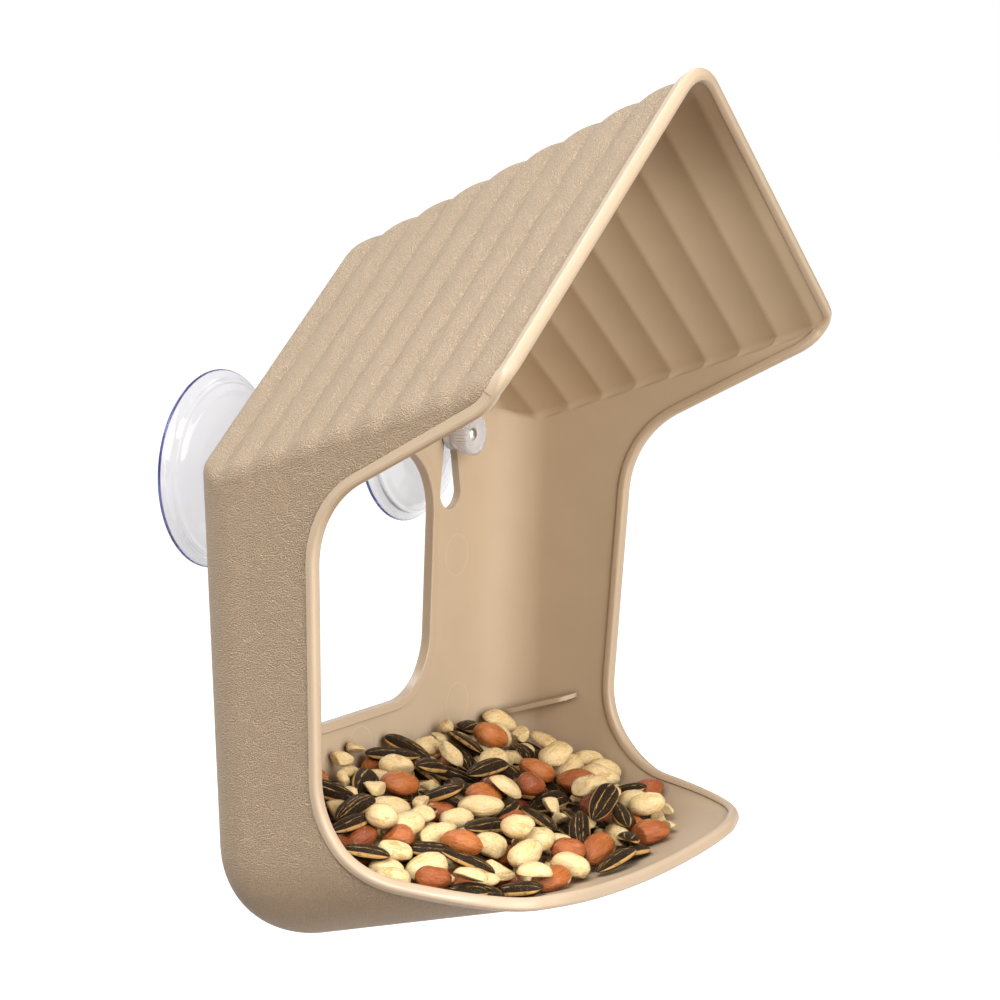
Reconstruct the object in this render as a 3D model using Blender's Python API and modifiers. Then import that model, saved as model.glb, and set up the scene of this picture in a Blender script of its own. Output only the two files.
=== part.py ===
# Window bird feeder: a one-piece moulded house with a ribbed roof, open at the front and
# notched in both sides, hung on the studs of two suction cups and filled with mixed seeds.
# Metres. X is to the right seen from the front, the front faces -Y and Z is up.
# The origin lies on the window glass, midway between the two suction cups.
# A depth is a distance from the glass towards the front, so y = -depth.
import math
import random

import bmesh
import bpy
import numpy as np
from mathutils import Matrix, Vector
from mathutils.bvhtree import BVHTree

# Clearances
GAP = 0.0003
OVERRUN = 0.004

# Shell: back panel, side walls, roof and tray floor, as outer faces before rounding
WALL = 0.0026
PANEL_DEPTH = 0.0134
HALF_WIDTH = 0.0951
SIDE_EDGE_DEPTH = 0.0600
LEAN_share = 0.075
FLARE_share = 0.060
TWIST_share = 0.050
TWIST_HEIGHT = 0.100
RIDGE_BACK = 0.0657
RIDGE_FRONT = 0.1231
EAVE_BACK = -0.0009
EAVE_FRONT = 0.0382
KEEL_BACK = -0.1520
KEEL_FRONT = -0.1265
FLOOR_RISE_share = 0.140

# Roundings of the section, and of the edges round the back panel
RIDGE_RADIUS = 0.0160
EAVE_RADIUS = 0.0062
HULL_RADIUS = 0.0310
KEEL_RADIUS = 0.4400
ROOF_BACK_RADIUS = 0.0060
WALL_BACK_RADIUS = 0.0185
FLOOR_BACK_RADIUS = 0.0280
LEAST_RADIUS = 0.0045

# Roof scallops: convex bands between creases that run along the slope
FIRST_CREASE = 0.0270
SCALLOPS = 8.4
SCALLOP_RISE = 0.0011
ROWS_PER_SCALLOP = 3
BACK_ROWS = 5

# Front edge seen from the side, as (depth, height) corners with their roundings
ROOF_DEPTH = 0.1349
EAVE_DEPTH = 0.1287
ARM_HEIGHT = 0.0330
NOTCH_TOP = 0.0612, -0.0022
NOTCH_BOTTOM = 0.0564, -0.1092
TRAY_DEPTH = 0.1216
LIP_HEIGHT = -0.1195
FRONT_CORNER_RADIUS = 0.0190
NOTCH_TOP_RADIUS = 0.0320
NOTCH_BOTTOM_RADIUS = 0.0290
LIP_RADIUS = 0.0020
PLAN_share = 0.560

# Bead along the whole front edge
BEAD_PROUD = 0.0007
BEAD_LEAD = 0.0010
BEAD_WIDTH = 0.00285
BEAD_CHAMFER = 0.0007

# Window in the back panel, with a bead round its inner side
WINDOW_TOP = -0.0020
WINDOW_BOTTOM = -0.0832
WINDOW_TOP_HALF = 0.0451
WINDOW_BOTTOM_HALF = 0.0394
WINDOW_TOP_RADIUS = 0.0220
WINDOW_BOTTOM_RADIUS = 0.0210

# Suction cups with their studs, washers and knurled nuts
CUP_SPACING = 0.1092
CUP_RADIUS = 0.0300
LIP_WIDTH = 0.0014
LIP_THICKNESS = 0.0010
RING_RADIUS = 0.0272
RING_HEIGHT = 0.0040
DOME_RADIUS = 0.0170
DOME_HEIGHT = 0.0094
NECK_RADIUS = 0.0062
HOLLOW_HEIGHT = 0.0052
SOCKET_DEPTH = 0.0058
STUD_RADIUS = 0.0025
WASHER_RADIUS = 0.0055
WASHER_THICKNESS = 0.0023
NUT_RADIUS = 0.0070
NUT_LENGTH = 0.0073
KNURL_DEPTH = 0.00035
KNURLS = 28
STUD_RECESS = 0.0008
CHAMFER = 0.0005

# Keyholes: a round end that passes the nut, narrowing to a slot over the stud
KEYHOLE_RADIUS = 0.0065
SLOT_RADIUS = 0.0033
KEYHOLE_DROP = 0.0187

# Ledge on each side wall
LEDGE_WIDTH = 0.0077
LEDGE_THICKNESS = 0.0015
LEDGE_BACK_HEIGHT = -0.0975
LEDGE_FRONT_HEIGHT = -0.0885
LEDGE_FRONT_DEPTH = 0.0460

# Seed heap: its top slopes from the back panel down to the front and drops at the walls
HEAP_BACK_DEPTH = 0.0180
HEAP_BACK_HEIGHT = -0.0925
HEAP_TOE_GAP = 0.0136
HEAP_FRONT_HEIGHT = -0.1195
HEAP_SIDE_DROP = 0.0070
HEAP_HALF_WIDTH = 0.0845
HEAP_LAYER = 0.0042
LEAST_BED = 0.0020
BED_ROWS = 9
BED_COLUMNS = 12
WALL_MARGIN = 0.0010
CELL = 0.0010
SEED_CLEARANCE = 0.0008
LEAST_HOLD = 0.0008
TRIES = 70
SEED_LEAN = math.radians(11)
SEED_SIDES = 6
SEED_KINDS = (
    # count, length, width, thickness, ring share of the half length, sunk share, spread of size
    (46, 0.0172, 0.0070, 0.0048, 0.50, 0.36, 0.06),
    (30, 0.0132, 0.0094, 0.0088, 0.62, 0.50, 0.12),
    (44, 0.0128, 0.0092, 0.0080, 0.62, 0.50, 0.12),
)

# Materials: colour, roughness, metallic, alpha
MATERIALS = {
    "beige_plastic": ((0.46, 0.35, 0.24), 0.55, 0.0, 1.0),
    "clear_pvc": ((0.86, 0.88, 0.94), 0.12, 0.0, 0.45),
    "stud_metal": ((0.55, 0.57, 0.55), 0.30, 1.0, 1.0),
    "clear_plastic": ((0.88, 0.89, 0.92), 0.18, 0.0, 0.60),
    "mixed_seeds": ((0.42, 0.24, 0.11), 0.60, 0.0, 1.0),
}

# Depths of the pieces on each stud, one after another from the glass
CUP_HEIGHT = PANEL_DEPTH - GAP
HEAP_FRONT_DEPTH = TRAY_DEPTH - HEAP_TOE_GAP
STUD_START = CUP_HEIGHT - SOCKET_DEPTH + GAP
PANEL_FRONT = PANEL_DEPTH + WALL
WASHER_START = PANEL_FRONT + GAP
NUT_START = WASHER_START + WASHER_THICKNESS + GAP
NUT_END = NUT_START + NUT_LENGTH
STUD_END = NUT_END - STUD_RECESS
STUD_BORE = STUD_RADIUS + GAP

RIDGE, ROOF, EAVE, SIDE, HULL, FLOOR, KEEL = range(7)
STRETCHES = 7


def along(start, end, share):
    return start + (end - start) * share


def wall_x(depth, height):
    flare = FLARE_share + TWIST_share * height / TWIST_HEIGHT
    return HALF_WIDTH + LEAN_share * height + flare * (depth - SIDE_EDGE_DEPTH)


def back_inset(depth, radius):
    reach = radius - (depth - PANEL_DEPTH)
    if reach <= 0:
        return 0.0
    return radius - math.sqrt(max(radius * radius - reach * reach, 0.0))


def unit(x, z):
    size = math.hypot(x, z)
    return x / size, z / size


def meet(line_a, line_b):
    """Crossing of two lines, each given as its normal (x, z) and its distance along it."""
    (ax, az), ad = line_a
    (bx, bz), bd = line_b
    det = ax * bz - az * bx
    return (ad * bz - bd * az) / det, (ax * bd - bx * ad) / det


section_store = {}


def section(depth):
    """The right half of the house outline at one depth: four arcs joined by three lines."""
    key = round(depth / PANEL_DEPTH, 9)
    if key in section_store:
        return section_store[key]
    ridge = along(RIDGE_BACK, RIDGE_FRONT, (depth - PANEL_DEPTH) / (ROOF_DEPTH - PANEL_DEPTH))
    eave = along(EAVE_BACK, EAVE_FRONT, (depth - PANEL_DEPTH) / (EAVE_DEPTH - PANEL_DEPTH))
    keel = along(KEEL_BACK, KEEL_FRONT, (depth - PANEL_DEPTH) / (TRAY_DEPTH - PANEL_DEPTH))
    eave_x = wall_x(depth, eave)
    low_x = wall_x(depth, keel)
    roof_n = unit(ridge - eave, eave_x)
    wall_n = unit(eave - keel, low_x - eave_x)
    floor_n = unit(FLOOR_RISE_share, -1)
    roof_in = back_inset(depth, ROOF_BACK_RADIUS)
    wall_in = back_inset(depth, WALL_BACK_RADIUS)
    floor_in = back_inset(depth, FLOOR_BACK_RADIUS)
    roof_line = roof_n, roof_n[1] * ridge - roof_in
    wall_line = wall_n, wall_n[0] * eave_x + wall_n[1] * eave - wall_in
    floor_line = floor_n, floor_n[1] * keel - floor_in
    ridge_r = max(RIDGE_RADIUS - roof_in, LEAST_RADIUS)
    eave_r = max(EAVE_RADIUS - (roof_in + wall_in) / 2, LEAST_RADIUS)
    hull_r = max(HULL_RADIUS - (wall_in + floor_in) / 2, LEAST_RADIUS)
    arcs = {
        RIDGE: axis_arc(roof_line, ridge_r, 1),
        EAVE: corner_arc(roof_line, wall_line, eave_r),
        HULL: corner_arc(wall_line, floor_line, hull_r),
        KEEL: axis_arc(floor_line, KEEL_RADIUS, -1),
    }
    section_store[key] = arcs
    return arcs


def corner_arc(line_a, line_b, radius):
    """Arc between two lines: its centre, radius and the angles of its two ends."""
    x, z = meet(line_a, line_b)
    (ax, az), (bx, bz) = line_a[0], line_b[0]
    scale = radius / (1 + ax * bx + az * bz)
    return x - (ax + bx) * scale, z - (az + bz) * scale, radius, math.atan2(az, ax), math.atan2(bz, bx)


def axis_arc(line, radius, way):
    """Arc that rounds a line into its mirror image at x = 0, at the top or at the bottom."""
    (nx, nz), reach = line
    centre = (reach - radius) / nz
    middle = way * math.pi / 2
    ends = (middle, math.atan2(nz, nx)) if way > 0 else (math.atan2(nz, nx), middle)
    return 0.0, centre, radius, *ends


def outline_point(depth, place):
    """Point and outward direction in the section at one depth; place runs from 0 to 7."""
    arcs = section(depth)
    stretch = min(int(place), STRETCHES - 1)
    share = place - stretch
    if stretch in arcs:
        x, z, radius, start, end = arcs[stretch]
        turn = along(start, end, share)
        return x + radius * math.cos(turn), z + radius * math.sin(turn), math.cos(turn), math.sin(turn)
    ax, az, ar, _, turn = arcs[stretch - 1]
    bx, bz, br = arcs[stretch + 1][:3]
    nx, nz = math.cos(turn), math.sin(turn)
    return along(ax + ar * nx, bx + br * nx, share), along(az + ar * nz, bz + br * nz, share), nx, nz


def round_corners(points, radii, steps):
    """Open outline with its inner corners rounded."""
    result = [points[0]]
    for before, corner, after, radius in zip(points, points[1:], points[2:], radii):
        start = Vector(before) - Vector(corner)
        end = Vector(after) - Vector(corner)
        half = start.angle(end) / 2
        reach = radius / math.tan(half)
        middle = Vector(corner) + (start.normalized() + end.normalized()).normalized() * (radius / math.sin(half))
        first = Vector(corner) + start.normalized() * reach - middle
        last = Vector(corner) + end.normalized() * reach - middle
        turn = first.angle_signed(last)
        for step in range(steps + 1):
            spin = Matrix.Rotation(-turn * step / steps, 2)
            result.append(tuple(middle + spin @ first))
    return result + [points[-1]]


def front_profile(steps):
    """The front edge seen from the side, from above the ridge to below the tray."""
    slope = (ROOF_DEPTH - EAVE_DEPTH) / (RIDGE_FRONT - ARM_HEIGHT)
    top = RIDGE_FRONT + OVERRUN
    bottom = KEEL_BACK - OVERRUN
    corners = [
        (EAVE_DEPTH + slope * (top - ARM_HEIGHT), top),
        (EAVE_DEPTH, ARM_HEIGHT),
        NOTCH_TOP,
        NOTCH_BOTTOM,
        (TRAY_DEPTH, LIP_HEIGHT),
        (TRAY_DEPTH, bottom),
    ]
    radii = FRONT_CORNER_RADIUS, NOTCH_TOP_RADIUS, NOTCH_BOTTOM_RADIUS, LIP_RADIUS
    return round_corners(corners, radii, steps)


def plan_radius():
    return PLAN_share * (TRAY_DEPTH - NOTCH_BOTTOM[0])


def plan_limit(x):
    """Depth of the tray's front edge at one x, with rounded front corners."""
    radius = plan_radius()
    side = wall_x(TRAY_DEPTH, LIP_HEIGHT) - BEAD_LEAD
    past = abs(x) - (side - radius)
    if past <= 0:
        return TRAY_DEPTH
    if past >= radius:
        return TRAY_DEPTH - radius
    return TRAY_DEPTH - radius + math.sqrt(radius * radius - past * past)


def edge_depth(place, profile_z, profile_depth):
    """Depth at which the line at this place of the section reaches the front edge."""
    low, high = SIDE_EDGE_DEPTH / 2, ROOF_DEPTH + OVERRUN
    while high - low > CHAMFER / 1000:
        depth = (low + high) / 2
        x, z = outline_point(depth, place)[:2]
        limit = np.interp(z, profile_z, profile_depth)
        if z < NOTCH_BOTTOM[1] + plan_radius():
            limit = min(limit, plan_limit(x))
        if depth > limit:
            high = depth
        else:
            low = depth
    return low


def spread_places(count, fine=60):
    """Places round half the section, closer together where the front edge bends."""
    profile = front_profile(24)[::-1]
    profile_z = [z for _, z in profile]
    profile_depth = [depth for depth, _ in profile]
    places = [index / fine for index in range(STRETCHES * fine + 1)]
    depths = [edge_depth(place, profile_z, profile_depth) for place in places]
    points, normals = [], []
    for place, depth in zip(places, depths):
        x, z, nx, nz = outline_point(depth, place)
        points.append(Vector((x, -depth, z)))
        normals.append(Vector((nx, 0, nz)))
    weights = [0.0]
    for index in range(1, len(points)):
        step = points[index] - points[index - 1]
        weight = step.length / EDGE_STEP + normals[index].angle(normals[index - 1]) / NORMAL_STEP
        if index > 1:
            before = points[index - 1] - points[index - 2]
            if step.length > 0 and before.length > 0:
                weight += step.angle(before) / TURN_STEP
        weights.append(weights[-1] + weight)
    marks = np.linspace(0, weights[-1], count + 1)
    chosen = np.interp(marks, weights, places)
    return [(float(place), edge_depth(place, profile_z, profile_depth)) for place in chosen]


EDGE_STEP = 0.018
NORMAL_STEP = math.radians(20)
TURN_STEP = math.radians(14)
HALF_COLUMNS = 38


def scallop(depth, place, edge):
    """Height of the roof's scallops here; it fades out round the eave."""
    fade = 1 - min(max(place - EAVE, 0), 1)
    if fade <= 0:
        return 0.0
    pitch = (edge - FIRST_CREASE) / SCALLOPS
    phase = (depth - FIRST_CREASE) / pitch
    part = phase - math.floor(phase)
    return SCALLOP_RISE * 4 * part * (1 - part) * fade


def shell_point(depth, place, edge):
    x, z, nx, nz = outline_point(depth, place)
    rise = scallop(depth, place, edge)
    return Vector((x + nx * rise, -depth, z + nz * rise))


def shell_normal(depth, place, edge):
    """Outward direction of the shell, level across the crease where a line meets one."""
    step = CHAMFER
    turn = 1 / 100
    low = max(place - turn, 0)
    high = min(place + turn, STRETCHES)
    across = shell_point(depth, high, edge) - shell_point(depth, low, edge)
    back = max(depth - step, PANEL_DEPTH)
    if depth <= PANEL_DEPTH:
        return Vector((0, 1, 0))
    forward = shell_point(depth + step, place, edge) - shell_point(back, place, edge)
    normal = across.cross(forward).normalized()
    outward = Vector((outline_point(depth, place)[2], 0, outline_point(depth, place)[3]))
    if normal.dot(outward) < 0:
        normal.negate()
    if place in (0, STRETCHES):
        normal.x = 0
        normal.normalize()
    return normal


def column_depths(edge):
    depths = []
    for row in range(BACK_ROWS):
        depths.append(along(PANEL_DEPTH, FIRST_CREASE, (row / BACK_ROWS) ** 2))
    pitch = (edge - FIRST_CREASE) / SCALLOPS
    rows = int(SCALLOPS * ROWS_PER_SCALLOP)
    for row in range(rows + 1):
        depths.append(FIRST_CREASE + pitch * row / ROWS_PER_SCALLOP)
    depths[-1] = edge
    return depths


def shell_columns():
    """Outer and inner points of every line from the back panel to the front edge."""
    columns = []
    for place, edge in spread_places(HALF_COLUMNS):
        outer, inner, normal = [], [], None
        for depth in column_depths(edge):
            point = shell_point(depth, place, edge)
            normal = shell_normal(depth, place, edge)
            if place in (0, STRETCHES):
                point.x = 0
            outer.append(point)
            inner.append(point - normal * WALL)
        columns.append((outer, inner, normal))
    mirror = Vector((-1, 1, 1))
    left = []
    for outer, inner, normal in columns[-2:0:-1]:
        left.append(([p * mirror for p in outer], [p * mirror for p in inner], normal * mirror))
    return columns + left


def new_object(name, mesh, collection):
    thing = bpy.data.objects.new(name, mesh)
    collection.objects.link(thing)
    return thing


def mesh_from(bm, name):
    bmesh.ops.recalc_face_normals(bm, faces=bm.faces)
    mesh = bpy.data.meshes.new(name)
    bm.to_mesh(mesh)
    bm.free()
    return mesh


def ring_faces(bm, first, second):
    for index in range(len(first)):
        after = (index + 1) % len(first)
        bm.faces.new((first[index], first[after], second[after], second[index]))


def make_shell(collection):
    """Closed shell of even thickness, lofted between the back panel and the front edge."""
    bm = bmesh.new()
    columns = shell_columns()
    rings = []
    for side in (0, 1):
        rows = len(columns[0][side])
        rings.append([[bm.verts.new(column[side][row]) for column in columns] for row in range(rows)])
    for layer in rings:
        for first, second in zip(layer, layer[1:]):
            ring_faces(bm, first, second)
        bm.faces.new(layer[0])
    ring_faces(bm, rings[0][-1], rings[1][-1])
    return new_object("feeder_body", mesh_from(bm, "feeder_body"), collection), columns


def make_front_bead(columns, collection):
    """Raised bead that follows the front edge all round."""
    outside, inside = BEAD_PROUD, -WALL - BEAD_PROUD
    front, back = -BEAD_LEAD, BEAD_WIDTH - BEAD_LEAD
    profile = [
        (outside, back),
        (outside, front + BEAD_CHAMFER),
        (outside - BEAD_CHAMFER, front),
        (inside + BEAD_CHAMFER, front),
        (inside, front + BEAD_CHAMFER),
        (inside, back),
    ]
    bm = bmesh.new()
    rings = []
    count = len(columns)
    for index, (outer, _, normal) in enumerate(columns):
        tangent = columns[(index + 1) % count][0][-1] - columns[index - 1][0][-1]
        inward = normal.cross(tangent).normalized()
        if inward.dot(outer[-2] - outer[-1]) < 0:
            inward.negate()
        rings.append([bm.verts.new(outer[-1] + normal * n + inward * b) for n, b in profile])
    for index, ring in enumerate(rings):
        ring_faces(bm, ring, rings[(index + 1) % count])
    return new_object("front_bead", mesh_from(bm, "front_bead"), collection)


def prism(name, loop, near, far, collection):
    """Flat outline of (x, z) points pushed from one depth to another."""
    bm = bmesh.new()
    face = bm.faces.new([bm.verts.new((x, -near, z)) for x, z in loop])
    grown = bmesh.ops.extrude_face_region(bm, geom=[face])["geom"]
    moved = [item for item in grown if isinstance(item, bmesh.types.BMVert)]
    bmesh.ops.translate(bm, verts=moved, vec=(0, near - far, 0))
    return new_object(name, mesh_from(bm, name), collection)


def window_loop(margin):
    """Closed outline of the back window, grown by a margin."""
    lean = (WINDOW_TOP_HALF - WINDOW_BOTTOM_HALF) / (WINDOW_TOP - WINDOW_BOTTOM)
    top = WINDOW_TOP + margin
    bottom = WINDOW_BOTTOM - margin
    top_half = WINDOW_TOP_HALF + margin * (1 + lean)
    bottom_half = WINDOW_BOTTOM_HALF + margin * (1 - lean)
    corners = [(0, top), (top_half, top), (bottom_half, bottom), (0, bottom)]
    radii = WINDOW_TOP_RADIUS + margin, WINDOW_BOTTOM_RADIUS + margin
    right = round_corners(corners, radii, 7)
    left = [(-x, z) for x, z in right[-2:0:-1]]
    return right + left


def keyhole_loop(centre):
    """Pear-shaped outline: the big round end below and the slot's round end on the stud axis."""
    lean = math.asin((KEYHOLE_RADIUS - SLOT_RADIUS) / KEYHOLE_DROP)
    loop = []
    for radius, height, start, end in (
        (SLOT_RADIUS, 0.0, -lean, math.pi + lean),
        (KEYHOLE_RADIUS, -KEYHOLE_DROP, math.pi + lean, 2 * math.pi - lean),
    ):
        for step in range(9):
            turn = along(start, end, step / 8)
            loop.append((centre + radius * math.cos(turn), height + radius * math.sin(turn)))
    return loop


def cut(thing, cutter, operation="DIFFERENCE"):
    modifier = thing.modifiers.new(cutter.name, "BOOLEAN")
    modifier.operation = operation
    modifier.solver = "EXACT"
    modifier.object = cutter
    cutter.hide_render = True
    cutter.display_type = "WIRE"


def make_window_bead(collection):
    """Ring round the window, from inside the panel's thickness to proud of its front."""
    near = PANEL_DEPTH + WALL / 2
    far = PANEL_FRONT + BEAD_PROUD
    ring = prism("window_bead", window_loop(BEAD_WIDTH), near, far, collection)
    hole = prism("window_bead_hole", window_loop(0), near - OVERRUN, far + OVERRUN, collection)
    cut(ring, hole)
    return ring


def make_ledge(side, collection):
    """Thin ledge on a side wall; its outline keeps inside the wall and the rounded corner."""
    height = (LEDGE_BACK_HEIGHT + LEDGE_FRONT_HEIGHT) / 2
    radius = WALL_BACK_RADIUS - WALL / 2
    centre_depth = PANEL_DEPTH + WALL_BACK_RADIUS
    centre_x = wall_x(centre_depth, height) - WALL_BACK_RADIUS
    wall_end = wall_x(LEDGE_FRONT_DEPTH, height) - WALL / 2
    free_x = wall_x(LEDGE_FRONT_DEPTH, height) - WALL - LEDGE_WIDTH
    last = math.acos((free_x - centre_x) / radius)
    loop = [(free_x, LEDGE_FRONT_DEPTH), (wall_end, LEDGE_FRONT_DEPTH)]
    for step in range(6):
        turn = last * step / 5
        loop.append((centre_x + radius * math.cos(turn), centre_depth - radius * math.sin(turn)))
    slope = (LEDGE_FRONT_HEIGHT - LEDGE_BACK_HEIGHT) / (LEDGE_FRONT_DEPTH - PANEL_FRONT)
    bm = bmesh.new()
    corners = []
    for x, depth in loop:
        corners.append(bm.verts.new((side * x, -depth, LEDGE_BACK_HEIGHT + slope * (depth - PANEL_FRONT))))
    face = bm.faces.new(corners)
    grown = bmesh.ops.extrude_face_region(bm, geom=[face])["geom"]
    moved = [item for item in grown if isinstance(item, bmesh.types.BMVert)]
    bmesh.ops.translate(bm, verts=moved, vec=(0, 0, -LEDGE_THICKNESS))
    name = "right_ledge" if side > 0 else "left_ledge"
    return new_object(name, mesh_from(bm, name), collection)


def make_feeder_body(parts, tools):
    body, columns = make_shell(parts)
    cut(body, make_front_bead(columns, tools), "UNION")
    cut(body, make_window_bead(tools), "UNION")
    window = prism("window_hole", window_loop(0), PANEL_DEPTH - OVERRUN, PANEL_FRONT + OVERRUN, tools)
    cut(body, window)
    for side in (-1, 1):
        cut(body, make_ledge(side, tools), "UNION")
        loop = keyhole_loop(side * CUP_SPACING / 2)
        name = "right_keyhole" if side > 0 else "left_keyhole"
        cut(body, prism(name, loop, PANEL_DEPTH - OVERRUN, PANEL_FRONT + OVERRUN, tools))
    return body


def turned(name, profile, steps, place, collection):
    """Solid of revolution about the stud axis, from (radius, depth) points."""
    mesh = bpy.data.meshes.new(name)
    verts = [(radius, 0, depth) for radius, depth in profile]
    closed = profile[0][0] > 0
    edges = [(index, index + 1) for index in range(len(verts) - 1)]
    if closed:
        edges.append((len(verts) - 1, 0))
    mesh.from_pydata(verts, edges, [])
    thing = new_object(name, mesh, collection)
    thing.location = place
    thing.rotation_euler = (math.pi / 2, 0, 0)
    screw = thing.modifiers.new("revolve", "SCREW")
    screw.steps = steps
    screw.render_steps = steps
    screw.use_merge_vertices = True
    screw.merge_threshold = 0.00001
    return thing


def make_cup(name, x, collection):
    profile = [
        (0, CUP_HEIGHT - SOCKET_DEPTH),
        (STUD_BORE, CUP_HEIGHT - SOCKET_DEPTH),
        (STUD_BORE, CUP_HEIGHT),
        (NECK_RADIUS, CUP_HEIGHT),
        (NECK_RADIUS, along(DOME_HEIGHT, CUP_HEIGHT, 0.45)),
        (DOME_RADIUS, DOME_HEIGHT),
        (along(DOME_RADIUS, RING_RADIUS, 0.65), along(DOME_HEIGHT, RING_HEIGHT, 0.45)),
        (RING_RADIUS, RING_HEIGHT),
        (RING_RADIUS, RING_HEIGHT / 2),
        (CUP_RADIUS, LIP_THICKNESS),
        (CUP_RADIUS, 0),
        (CUP_RADIUS - LIP_WIDTH, 0),
        (along(0, CUP_RADIUS, 0.7), HOLLOW_HEIGHT / 2),
        (along(0, CUP_RADIUS, 0.35), along(0, HOLLOW_HEIGHT, 0.9)),
        (0, HOLLOW_HEIGHT),
    ]
    return turned(name, profile, 32, (x, 0, 0), collection)


def make_stud(name, x, collection):
    profile = [
        (0, STUD_END),
        (STUD_RADIUS - CHAMFER, STUD_END),
        (STUD_RADIUS, STUD_END - CHAMFER),
        (STUD_RADIUS, STUD_START),
        (0, STUD_START),
    ]
    return turned(name, profile, 20, (x, 0, 0), collection)


def make_washer(name, x, collection):
    back = WASHER_START
    front = WASHER_START + WASHER_THICKNESS
    profile = [
        (STUD_BORE, front),
        (WASHER_RADIUS - CHAMFER, front),
        (WASHER_RADIUS, front - CHAMFER),
        (WASHER_RADIUS, back),
        (STUD_BORE, back),
    ]
    return turned(name, profile, 20, (x, 0, 0), collection)


def make_nut(name, x, parts, tools):
    """Knurled thumb nut with chamfered ends and a bore for the stud."""
    bm = bmesh.new()
    rings = []
    for depth, trim in (
        (NUT_START, CHAMFER),
        (NUT_START + CHAMFER, 0),
        (NUT_END - CHAMFER, 0),
        (NUT_END, CHAMFER),
    ):
        ring = []
        for index in range(2 * KNURLS):
            turn = math.pi * index / KNURLS
            radius = NUT_RADIUS - trim - KNURL_DEPTH * (index % 2)
            ring.append(bm.verts.new((radius * math.cos(turn), -depth, radius * math.sin(turn))))
        rings.append(ring)
    for first, second in zip(rings, rings[1:]):
        ring_faces(bm, first, second)
    bm.faces.new(rings[0])
    bm.faces.new(rings[-1])
    nut = new_object(name, mesh_from(bm, name), parts)
    nut.location = (x, 0, 0)
    bore = turned(
        name + "_bore",
        [
            (0, NUT_END + OVERRUN),
            (STUD_BORE, NUT_END + OVERRUN),
            (STUD_BORE, NUT_START - OVERRUN),
            (0, NUT_START - OVERRUN),
        ],
        20,
        (x, 0, 0),
        tools,
    )
    cut(nut, bore)
    return nut


def heap_height(x, depth):
    slope = (HEAP_FRONT_HEIGHT - HEAP_BACK_HEIGHT) / (HEAP_FRONT_DEPTH - HEAP_BACK_DEPTH)
    side = min(abs(x) / HEAP_HALF_WIDTH, 1)
    return HEAP_BACK_HEIGHT + slope * (depth - HEAP_BACK_DEPTH) - HEAP_SIDE_DROP * side ** 3


def tree_of(thing):
    graph = bpy.context.evaluated_depsgraph_get()
    bm = bmesh.new()
    bm.from_object(thing, graph)
    bm.transform(thing.matrix_world)
    tree = BVHTree.FromBMesh(bm)
    bm.free()
    return tree


def top_at(tree, x, depth):
    """Height of the first surface under a point that lies over the heap."""
    start = Vector((x, -depth, WINDOW_BOTTOM - WALL))
    hit = tree.ray_cast(start, Vector((0, 0, -1)))[0]
    return None if hit is None else hit.z


def bed_thickness(body, x, depth):
    floor = top_at(body, x, depth)
    if floor is None:
        return -HEAP_LAYER
    return heap_height(x, depth) - HEAP_LAYER - floor - GAP


def bed_reach(body, depth):
    """Half width of the bed where it is still as thick as LEAST_BED, clear of the walls."""
    x = 0.0
    while x < HEAP_HALF_WIDTH and bed_thickness(body, x, depth) > LEAST_BED:
        x += CELL
    return x - CELL - WALL_MARGIN


def make_bed(body, collection):
    """Lower part of the heap as one mound, lying on the tray floor."""
    first = HEAP_BACK_DEPTH
    last = HEAP_FRONT_DEPTH
    while bed_thickness(body, 0, first) < LEAST_BED:
        first += CELL
    while bed_thickness(body, 0, last) < LEAST_BED:
        last -= CELL
    bm = bmesh.new()
    tops, bottoms = [], []
    for row in range(BED_ROWS + 1):
        depth = along(first, last, row / BED_ROWS)
        reach = bed_reach(body, depth)
        top_row, bottom_row = [], []
        for column in range(BED_COLUMNS + 1):
            x = along(-reach, reach, column / BED_COLUMNS)
            floor = top_at(body, x, depth) + GAP
            top = max(heap_height(x, depth) - HEAP_LAYER, floor + LEAST_BED / 2)
            top_row.append(bm.verts.new((x, -depth, top)))
            bottom_row.append(bm.verts.new((x, -depth, floor)))
        tops.append(top_row)
        bottoms.append(bottom_row)
    for layer in (tops, bottoms):
        for near, far in zip(layer, layer[1:]):
            for column in range(BED_COLUMNS):
                bm.faces.new((near[column], near[column + 1], far[column + 1], far[column]))
    for top_row, bottom_row in ((tops[0], bottoms[0]), (tops[-1], bottoms[-1])):
        for column in range(BED_COLUMNS):
            bm.faces.new((top_row[column], top_row[column + 1], bottom_row[column + 1], bottom_row[column]))
    for row in range(BED_ROWS):
        for column in (0, BED_COLUMNS):
            bm.faces.new((tops[row][column], tops[row + 1][column], bottoms[row + 1][column], bottoms[row][column]))
    return new_object("seed_heap", mesh_from(bm, "seed_heap"), collection)


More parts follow.
